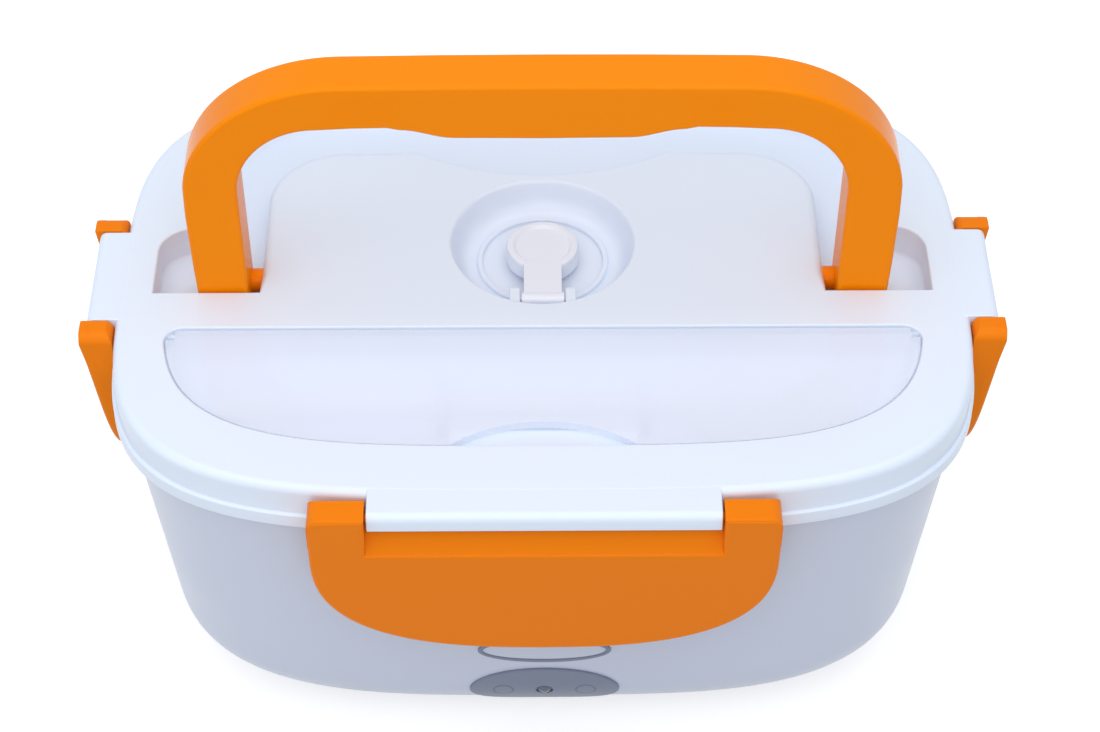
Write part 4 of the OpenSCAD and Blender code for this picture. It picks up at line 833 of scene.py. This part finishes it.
def inside(points, x, y):
    """Whether a place lies inside an outline."""
    crossed = [(p[1] > y) != (q[1] > y) and x < (q[0] - p[0]) * (y - p[1]) / (q[1] - p[1]) + p[0]
               for p, q in zip(points, points[-1:] + points[:-1])]
    return sum(crossed) % 2 == 1


def add_flat(bm, outer, holes, z):
    """A flat face at height z inside one outline and outside the others."""
    verts, edges = [], []
    for loop in [outer] + holes:
        first = len(verts)
        verts += [Vector((p[0], p[1])) for p in loop]
        edges += [(first + i, first + (i + 1) % len(loop)) for i in range(len(loop))]
    found, _, faces, *_ = delaunay_2d_cdt(verts, edges, [], 0, 1e-6)
    made = [bm.verts.new((v.x * MM, v.y * MM, z * MM)) for v in found]
    for face in faces:
        cx = sum(found[i].x for i in face) / 3
        cy = sum(found[i].y for i in face) / 3
        if inside(outer, cx, cy) and not any(inside(hole, cx, cy) for hole in holes):
            bm.faces.new([made[i] for i in face])


lid = bmesh.new()
side_rings = [(-2.4, 94.6), (-2.4, LIP_Z + 0.3), (-2.1, LIP_Z), (0.5, LIP_Z), (0.85, LIP_Z + 0.15),
              (1.0, LIP_Z + 0.5), (1.0, 96.6), (0.9, 96.95), (0.6, 97.15), (0.15, 97.25), (0.0, 97.5),
              (0.0, 100.0)] + arc(-LID_ROUND, LID_Z - LID_ROUND, LID_ROUND, LID_ROUND, 0, 90, 8)
lid_side = add_rings(lid, [[(x, y, z) for x, y in lid_outline(offset)] for offset, z in side_rings])
lid.faces.new(lid_side[:ROUND_STEPS])

# Channel of the folded handle, with its leg pockets, round the raised middle
PIVOT = (3.0, 101.2)
HANDLE_HW, HANDLE_H, CORNER = 91.9, 72.0, (41.9, 35.1)
PLATEAU_HW, PLATEAU_BACK, PLATEAU_R = 74.5, 51.0, 20.0
SCOOP_HW, SCOOP_R, SCOOP_Y, SCOOP_START = 35.0, 66.25, 107.25, 270 - 31.89
POCKET_FRONT, POCKET_BACK, POCKET_HW, POCKET_R = -6.85, 18.5, 102.5, 9.0
CHANNEL_Z, CHANNEL_ROUND, FOLD_GAP = 96.5, 1.0, 1
fold_x, fold_y = HANDLE_HW - CORNER[0], PIVOT[0] + HANDLE_H - CORNER[1]
right_outer = [(POCKET_HW, POCKET_FRONT)]
right_outer += arc(POCKET_HW - POCKET_R, POCKET_BACK - POCKET_R, POCKET_R, POCKET_R, 0, 90, 10)
right_outer += [(HANDLE_HW + FOLD_GAP, POCKET_BACK)]
right_outer += arc(fold_x, fold_y, CORNER[0] + FOLD_GAP, CORNER[1] + FOLD_GAP, 0, 90, 28)
right_inner = [(PLATEAU_HW, POCKET_FRONT)]
right_inner += arc(PLATEAU_HW - PLATEAU_R, PLATEAU_BACK - PLATEAU_R, PLATEAU_R, PLATEAU_R, 0, 90, 16)
scoop = [(x, min(y, PLATEAU_BACK))
         for x, y in arc(0, SCOOP_Y, SCOOP_R, SCOOP_R, SCOOP_START, 540 - SCOOP_START, 36)]
channel = spaced(right_outer + mirrored(right_outer) + [(-x, y) for x, y in right_inner]
                 + scoop + list(reversed(right_inner)))
MIDDLE_ROUND, SCOOP_ROUND, OUTER_ROUND, ROUND_RUN = 2.6, 1.2, 0.6, 8


def channel_edge(x, y):
    """The radius of the channel's upper edge, which grows along the raised middle."""
    if abs(x) > PLATEAU_HW + 0.01 or y > PLATEAU_BACK + 0.01:
        return OUTER_ROUND
    if abs(x) < SCOOP_HW + ROUND_RUN:
        return SCOOP_ROUND + (MIDDLE_ROUND - SCOOP_ROUND) * held((abs(x) - SCOOP_HW) / ROUND_RUN)
    return OUTER_ROUND + (MIDDLE_ROUND - OUTER_ROUND) * held((y - POCKET_FRONT) / ROUND_RUN)


channel_rings = recess_rings(channel, [channel_edge(x, y) for x, y in channel], CHANNEL_Z, CHANNEL_ROUND)
add_bowl(lid, channel_rings)

# Cutlery recess: a D with a ledge for the clear cover round its curved side
RECESS_HALF, RECESS_BACK, RECESS_Z, RECESS_SIDE, RECESS_R = (98.8, 63.5), -20.5, 96.1, 0.8, 5.0
RECESS_EDGE, RECESS_ROUND, LEDGE_W, LEDGE_RUN, COVER_UNDER = 0.5, 1.2, 1.6, 3, 103.25
straight, side_x = RECESS_BACK - RECESS_R, RECESS_HALF[0] - RECESS_SIDE
curved = sorted((p for p in squircle(*RECESS_HALF, LID_SQUARE, full_turn(360))
                 if p[1] < straight and abs(p[0]) < side_x), key=lambda p: p[0])
right_corner = arc(side_x - RECESS_R, straight, RECESS_R, RECESS_R, 0, 90, 8)
cutlery = spaced(curved + right_corner + mirrored(right_corner))
ledge_width = [LEDGE_W * held((straight - y) / LEDGE_RUN) for _, y in cutlery]
cutlery_rings = recess_rings(cutlery, RECESS_EDGE, RECESS_Z, RECESS_ROUND, (ledge_width, COVER_UNDER))
add_bowl(lid, cutlery_rings)

# Vent dish, with a thin ring and a boss round the steam hole in its floor
VENT_Y, DISH_Z, DISH_STEPS = 13.0, 98.0, 120
dish_profile = [(25.3, LID_Z), (24.9, LID_Z - 0.06), (24.6, LID_Z - 0.3), (24.3, LID_Z - 0.8),
                (23.9, 104.2), (23.4, 102.8), (22.8, 101.2), (22.1, 99.9), (21.3, 99.0), (20.4, 98.3),
                (19.4, DISH_Z), (17.8, DISH_Z), (17.6, 98.15), (17.6, 99.0), (17.4, 99.2), (16.4, 99.2),
                (16.2, 99.0), (16.2, 98.15), (16.0, DISH_Z), (7.6, DISH_Z), (7.2, 98.2), (7.0, 98.6),
                (7.0, 99.4), (6.8, 99.6), (2.8, 99.6), (2.5, 99.3), (2.5, 96.5)]
dish_rings = [[(x, y, z) for x, y in oval(r, r, DISH_STEPS, cy=VENT_Y)] for r, z in dish_profile]
add_bowl(lid, dish_rings)
add_flat(lid, lid_outline(-LID_ROUND), [
    [(x, y) for x, y, _ in ring] for ring in (channel_rings[0], cutlery_rings[0], dish_rings[0])], LID_Z)

# Lugs of the vent cap's hinge, and rests of the spoon with raised ends
LUG_X, LUG_HALF, LUG_Y, LUG_Z = 7.4, 1.4, (-13.2, -4.8), (97.5, 105.4)
REST_X, REST_HALF, REST_Y, REST_Z = 26, 0.8, (-51, -35), (95.1, 99.1)
REST_END_HALF, REST_END_Y, REST_END_Z = (0.75, 0.95), (-50, -36), (95.5, 101.1)


def standing_box(x, y, half, back, heights, edge):
    """Adds a box that stands on a recess's floor, from y to back and to both sides of x."""
    add_prism(lid, [(x - half, y), (x + half, y), (x + half, back), (x - half, back)], *heights, "z", edge)


for side in (-1, 1):
    standing_box(side * LUG_X, LUG_Y[0], LUG_HALF, LUG_Y[1], LUG_Z, 0.4)
    standing_box(side * REST_X, REST_Y[0], REST_HALF, REST_Y[1], REST_Z, 0.25)
    for end in REST_END_Y:
        standing_box(side * REST_X, end - REST_END_HALF[1], REST_END_HALF[0], end + REST_END_HALF[1],
                     REST_END_Z, 0.25)

# Tongues of the clips, and the thumb shelf under the cover's cut-out on the recess's front wall
TONGUE = [(-3.5, 100.5), (7.1, 100.5), (7.6, 101.0)] + arc(5.4, 103.7, 2.2, 2.2, 0, 90, 8)
TONGUE += [(-3.5, 105.93)]
TONGUE_HALF = (43.4, 17.2)
add_bars(lid, TONGUE, TONGUE_HALF, 0.5, 4)
SHELF_HALF, SHELF_Y, SHELF_Z, SHELF_R = 24, (-64.5, -55.2), (101.2, 102.9), 2.0
add_prism(lid, round_box(-SHELF_HALF, SHELF_Y[0], SHELF_HALF, SHELF_Y[1], SHELF_R), *SHELF_Z, "z", 0.4)
finish_piece(lid, "lid_top", "lid_shell", "lid", LID_WHITE)

# ---- Lid's inner plate and gasket ----
# A white plate closes the lid from below. Two ribs under it hold the pale silicone gasket that
# presses on the container's rim.
dress("lid_inner", LID_WHITE)
dress("lid_gasket", plastic(
    "silicone_pale", srgb(224, 227, 230), srgb(214, 218, 222), 0.55, 300.0, 0.05, 0.05))

# ---- Vent cap ----
# The white exhaust cap is a small moulding that sits over the steam hole. It swings up on a pin
# at the front of its dish.
VENT_WHITE = plastic("vent_white", srgb(236, 240, 250), srgb(230, 235, 247), 0.2, 900.0, 0.02, 0.1)
finish_node("vent_cap", "exhaust_cap", "vent_cap", VENT_WHITE, 0.3, 3)

# ---- Cutlery cover and spoon ----
# A clear polystyrene flap lies flush in the lid over the cutlery recess, with a curved cut-out
# for the thumb. The clear spoon rests under it.


def clear(name, color, alpha, shadow, roughness):
    """Clear plastic: see-through by its alpha, and almost without a shadow."""
    material = plastic(name, color, color, roughness, 60.0, 0.05, 0.03)
    tree = material.node_tree
    ray = tree.nodes.new("ShaderNodeLightPath").outputs["Is Shadow Ray"]
    left = calc(tree, "SUBTRACT", alpha, calc(tree, "MULTIPLY", ray, alpha - shadow))
    tree.links.new(left, tree.nodes["Principled BSDF"].inputs["Alpha"])
    material.surface_render_method = "BLENDED"
    return material


CLEAR = clear("clear_cover", srgb(233, 240, 253), 0.55, 0.06, 0.08)
FROSTED = clear("clear_spoon", srgb(238, 243, 252), 0.35, 0.06, 0.12)
finish_node("cutlery_cover", "cutlery_flap", "cutlery_cover", CLEAR, 0.3)
finish_node("spoon", "spoon_clear", "lid", FROSTED, 0.2)

# ---- Carry handle ----
# The handle is one glossy orange moulding, 184 mm wide and 13.9 mm thick, with a swelling under
# the middle of its bar for the fingers. It turns on two stubs in the raised middle of the lid.
ORANGE = plastic("orange_gloss", (1.0, 0.27, 0.0, 1), (0.98, 0.26, 0.0, 1), 0.24, 700.0, 0.015, 0.03, 0.1)
HANDLE_FRONT, HANDLE_T, LEG_W, BAR_H, INNER_R, BELLY, HANDLE_ROUND = -6.5, 13.9, 14.0, 13.6, 21, 2.6, 1.3
STUB_R, STUB_IN = 3.2, 69
half_outer = [(HANDLE_HW - 3, -4.2), (HANDLE_HW - 1.4, -2.7), (HANDLE_HW - 0.6, 12), (HANDLE_HW, 30)]
half_outer += arc(fold_x, HANDLE_H - CORNER[1], CORNER[0], CORNER[1], 4, 90, 30)
half_outer += [(25, HANDLE_H + 0.3), (0, HANDLE_H + 0.4)]
leg_x, bar_z = HANDLE_HW - LEG_W, HANDLE_H - BAR_H
half_inner = [(leg_x + 1.5, -4.2), (leg_x - 0.6, -2.2)]
half_inner += arc(leg_x - INNER_R, bar_z - INNER_R, INNER_R, INNER_R, 0, 90, 20)
half_inner += [(48, bar_z + 0.5), (39, bar_z + 0.7)]
half_inner += [(36 - 14 * k / 8, bar_z - BELLY * (1 - cos(pi * k / 8)) / 2) for k in range(9)]
half_inner += [(10, bar_z - BELLY - 0.1), (0, bar_z - BELLY - 0.2)]
outline = half_outer[:-1] + mirrored(half_outer) + [(-x, z) for x, z in half_inner]
outline += list(reversed(half_inner[:-1]))
handle = bmesh.new()
handle_back = HANDLE_FRONT + HANDLE_T
add_prism(handle, [(x, PIVOT[1] + z) for x, z in outline], HANDLE_FRONT, handle_back, "y", HANDLE_ROUND, 4)
# The legs' feet are rounded about the pivot, so that they clear the pocket's floor
for v in handle.verts:
    y, z = v.co.y / MM - PIVOT[0], v.co.z / MM - PIVOT[1]
    reach = sqrt(y * y + z * z)
    limit = handle_back - PIVOT[0] if y > 0 else PIVOT[0] - HANDLE_FRONT
    if z < 0 and reach > limit:
        v.co.y = (PIVOT[0] + y * limit / reach) * MM
        v.co.z = (PIVOT[1] + z * limit / reach) * MM
for side in (-1, 1):
    ends = sorted((side * STUB_IN, side * (leg_x + 2)))
    add_prism(handle, oval(STUB_R, STUB_R, 40, *PIVOT), *ends, "x", 0.4)
finish_piece(handle, "carry_handle", "handle", "handle", ORANGE)

# ---- Snap clips ----
# Four orange clips turn on pins in the lid's tongues and snap under ribs on the body. Each is a
# thin curved moulding with returned edges, two horns round its pins, a sloping ledge under the
# tongue and a hook behind. The front and back ones are 116 mm long.
HINGE_U, HINGE_Z, HORN_R, HORN_IN, HORN_FOOT = 4.4, 102.5, 4.2, 0.35, 95.6
PIN_R, PIN_IN, PIN_OUT = 1.1, 4.5, 1
CLIP_TOP, CLIP_WALL, FACE_ROUND, SHOULDER, LEDGE_Z, LEDGE_OVER = 105.9, 2.6, 1.0, 2.9, 92.6, 0.5
RETURN_TOP, RETURN_T, RETURN_IN, HOOK_IN, APART = 96.0, 2.0, 1.2, 7, 0.03
# The clips' orange is the handle's orange set darker: painted shade for the clips' upright faces, which the
# lamp overhead lights less than the handle's top
CLIP_ORANGE_SHADED = plastic(
    "orange_clip_painted_shade", (0.92, 0.228, 0.004, 1), (0.9, 0.218, 0.004, 1), 0.28, 700.0, 0.015, 0.03, 0.08)


def clip_foot(half, low, bend, deep, inset):
    """The clip's round foot seen from the front, from its left flank to its right."""
    turns = [pi + pi * k / 60 for k in range(61)]
    return [(x, low + deep + z) for x, z in squircle(half - inset, deep - inset, bend, turns)]


def add_slab(bm, outline, y_front, y_back, r):
    """Adds a flat slab whose front edge is rounded all the way round."""
    normals = outward(outline)
    rings = [moved(outline, normals, -r * (1 - sin(radians(a))), y_front + r * (1 - cos(radians(a))))
             for a in range(0, 91, 18)] + [moved(outline, normals, 0.0, y_back)]
    add_rings(bm, [[(x, y, z) for x, z, y in ring] for ring in rings], capped=True)


def snap_clip(clip, turn, skirt, half, gap, low, bend, deep, back, front, slope):
    """Builds a clip in front of the box from its skirt outwards, then turns it to its side."""
    foot, outer_foot, inner_foot = (
        clip_foot(half, low, bend, deep, inset) for inset in (0.0, APART, RETURN_T))
    shoulder = (half - SHOULDER, CLIP_TOP - SHOULDER)
    leaning = bmesh.new()
    y_front, y_back = -(skirt + front), -(skirt + back)
    # Face with the notch for the tongue, and the returned edge behind it
    upper = arc(*shoulder, SHOULDER, SHOULDER, 0, 90, 9) + [(gap, CLIP_TOP), (gap, LEDGE_Z)]
    add_slab(leaning, foot + upper + mirrored(upper), y_front, y_front + CLIP_WALL, FACE_ROUND)
    flank = [(half - APART, RETURN_TOP), (half - RETURN_T, RETURN_TOP)]
    edge = outer_foot + flank + list(reversed(inner_foot)) + mirrored(flank)
    add_prism(leaning, edge, y_front + RETURN_IN, y_back, "y", 0.5, 2)
    for v in leaning.verts:
        v.co.y += slope * (CLIP_TOP - v.co.z / MM) * MM
    bmesh.ops.recalc_face_normals(leaning, faces=leaning.faces)
    bm = opened(closed_up(leaning, "leaning"))
    # Ledge under the tongue, hook behind
    u = front - slope * (CLIP_TOP - LEDGE_Z)
    sill = [(u - 0.5, LEDGE_Z - 0.35), (u - 1.0, LEDGE_Z + 0.45), (4.9, 97.9), (4.3, 98.1), (2.9, 98.0),
            (2.9, 96.4), (4.6, 95.4), (u - 2.2, LEDGE_Z - 1.6)]
    hook = [(-1.4, 83.0), (0.8, 87.4), (1.8, 87.7)]
    hook += [(front - slope * (CLIP_TOP - z) - 1.0, z) for z in (87.7, 80.4)] + [(0.6, 80.4), (-1.4, 82.2)]
    for profile, reach, bevel in ((sill, gap + LEDGE_OVER, 0.0), (hook, half - HOOK_IN, 0.25)):
        add_prism(bm, [(-(skirt + a), z) for a, z in profile], -reach, reach, "x", bevel, 2)
    # Horns, which follow the face's round shoulders, and pins into the tongue
    tip = front - HORN_IN
    horn = [(tip - slope * (CLIP_TOP - HORN_FOOT), HORN_FOOT), (tip, CLIP_TOP - APART)]
    horn += [(HINGE_U + HORN_R * cos(radians(a)), HINGE_Z + HORN_R * sin(radians(a)))
             for a in range(127, 181, 6)] + [(0.4, 97.0), (0.4, HORN_FOOT)]
    cuts = [(gap + APART, CLIP_TOP)] + arc(*shoulder, SHOULDER - APART, SHOULDER - APART, 4, 90, 9)[::-1]
    for side in (-1, 1):
        add_rings(bm, [[(side * x, -(skirt + a), min(z, top - APART)) for a, z in horn]
                       for x, top in cuts], capped=True)
        ends = sorted((side * (gap - PIN_IN), side * (gap + PIN_OUT)))
        add_prism(bm, oval(PIN_R, PIN_R, 24, -(skirt + HINGE_U), HINGE_Z), *ends, "x", 0.25, 2)
    c, n = round(cos(radians(turn))), round(sin(radians(turn)))
    for v in bm.verts:
        v.co.x, v.co.y = c * v.co.x - n * v.co.y, n * v.co.x + c * v.co.y
    finish_piece(bm, f"snap_clip_{clip}", f"clip_{clip}", f"clip_{clip}", CLIP_ORANGE_SHADED,
                 recalc=False)


LONG_CLIP = dict(skirt=LID_HALF[1], half=58.0, gap=TONGUE_HALF[0] + 0.5, low=52.8, bend=2.6, deep=38.0,
                 back=1.3, front=9.5, slope=0.1)
SIDE_CLIP = dict(skirt=LID_HALF[0], half=24.0, gap=TONGUE_HALF[1] + 0.4, low=56.6, bend=3.0, deep=28.0,
                 back=2.3, front=9.2, slope=0.14)
for clip, turn, sizes in (("front", 0, LONG_CLIP), ("back", 180, LONG_CLIP),
                          ("right", 90, SIDE_CLIP), ("left", 270, SIDE_CLIP)):
    snap_clip(clip, turn, **sizes)

# ---- Studio ----
# A plain white floor, a large soft lamp overhead, and weak fills from the front and the left. The
# camera stands where the photograph was taken from.
floor_mesh = bpy.data.meshes.new("floor")
floor_mesh.from_pydata([(-6, -6, 0), (6, -6, 0), (6, 6, 0), (-6, 6, 0)], [], [(0, 1, 2, 3)])
floor = put_in_scene("floor", floor_mesh)


def seen_white(tree, plain, white, target):
    """Shows one shader to the camera, reflections and glass, and the plain one to the rest."""
    path = tree.nodes.new("ShaderNodeLightPath").outputs
    seen = calc(tree, "MAXIMUM", path["Is Camera Ray"], path["Is Glossy Ray"])
    seen = calc(tree, "MAXIMUM", seen, path["Is Transmission Ray"])
    choose = place(tree, "ShaderNodeMixShader", {0: seen, 1: plain, 2: white})
    tree.links.new(choose.outputs["Shader"], target)


floor_white = bpy.data.materials.new("floor_white")
floor_white.use_nodes = True
tree = floor_white.node_tree
base = tree.nodes["Principled BSDF"]
base.inputs["Base Color"].default_value = (0.62, 0.62, 0.62, 1)
base.inputs["Roughness"].default_value = 0.9
base.inputs["Specular IOR Level"].default_value = 0.1
glow = place(tree, "ShaderNodeEmission", {"Strength": 0.6})
both = place(tree, "ShaderNodeAddShader", {0: base.outputs["BSDF"], 1: glow.outputs["Emission"]})
seen_white(tree, base.outputs["BSDF"], both.outputs["Shader"],
           tree.nodes["Material Output"].inputs["Surface"])
floor_mesh.materials.append(floor_white)

world = bpy.data.worlds.new("studio")
scene.world = world
world.use_nodes = True
tree = world.node_tree
sky = tree.nodes["Background"]
sky.inputs["Color"].default_value = (0.86, 0.92, 1.0, 1)
sky.inputs["Strength"].default_value = 0.55
white = place(tree, "ShaderNodeBackground", {"Color": (1, 1, 1, 1), "Strength": 1.0})
seen_white(tree, sky.outputs["Background"], white.outputs["Background"],
           tree.nodes["World Output"].inputs["Surface"])


def softbox(name, spot, aim, width, power, color):
    """A square lamp that looks from its spot at an aim."""
    lamp = bpy.data.lights.new(name, "AREA")
    lamp.shape, lamp.size, lamp.energy, lamp.color = "SQUARE", width, power, color
    holder = put_in_scene(name, lamp)
    holder.location = spot
    holder.rotation_euler = (Vector(aim) - Vector(spot)).to_track_quat("-Z", "Y").to_euler()


softbox("overhead", (0.0, -0.3, 1.5), (0, 0, 0.08), 1.9, 13.8, (1.0, 0.98, 0.95))
softbox("front_fill", (0.0, -1.3, 1.0), (0, 0, 0.08), 1.0, 4.0, (1.0, 1.0, 1.0))
softbox("left_fill", (-1.2, -0.6, 0.7), (0, 0, 0.05), 0.8, 1.5, (0.95, 0.97, 1.0))

lens = bpy.data.cameras.new("photo_camera")
lens.sensor_width = 36.0
lens.lens = 91.80
camera = put_in_scene("photo_camera", lens)
camera.location = (-0.00151, -0.5510, 0.6044)
camera.rotation_euler = Vector((0.00447, 0.719, -0.695)).to_track_quat("-Z", "Y").to_euler()
scene.camera = camera
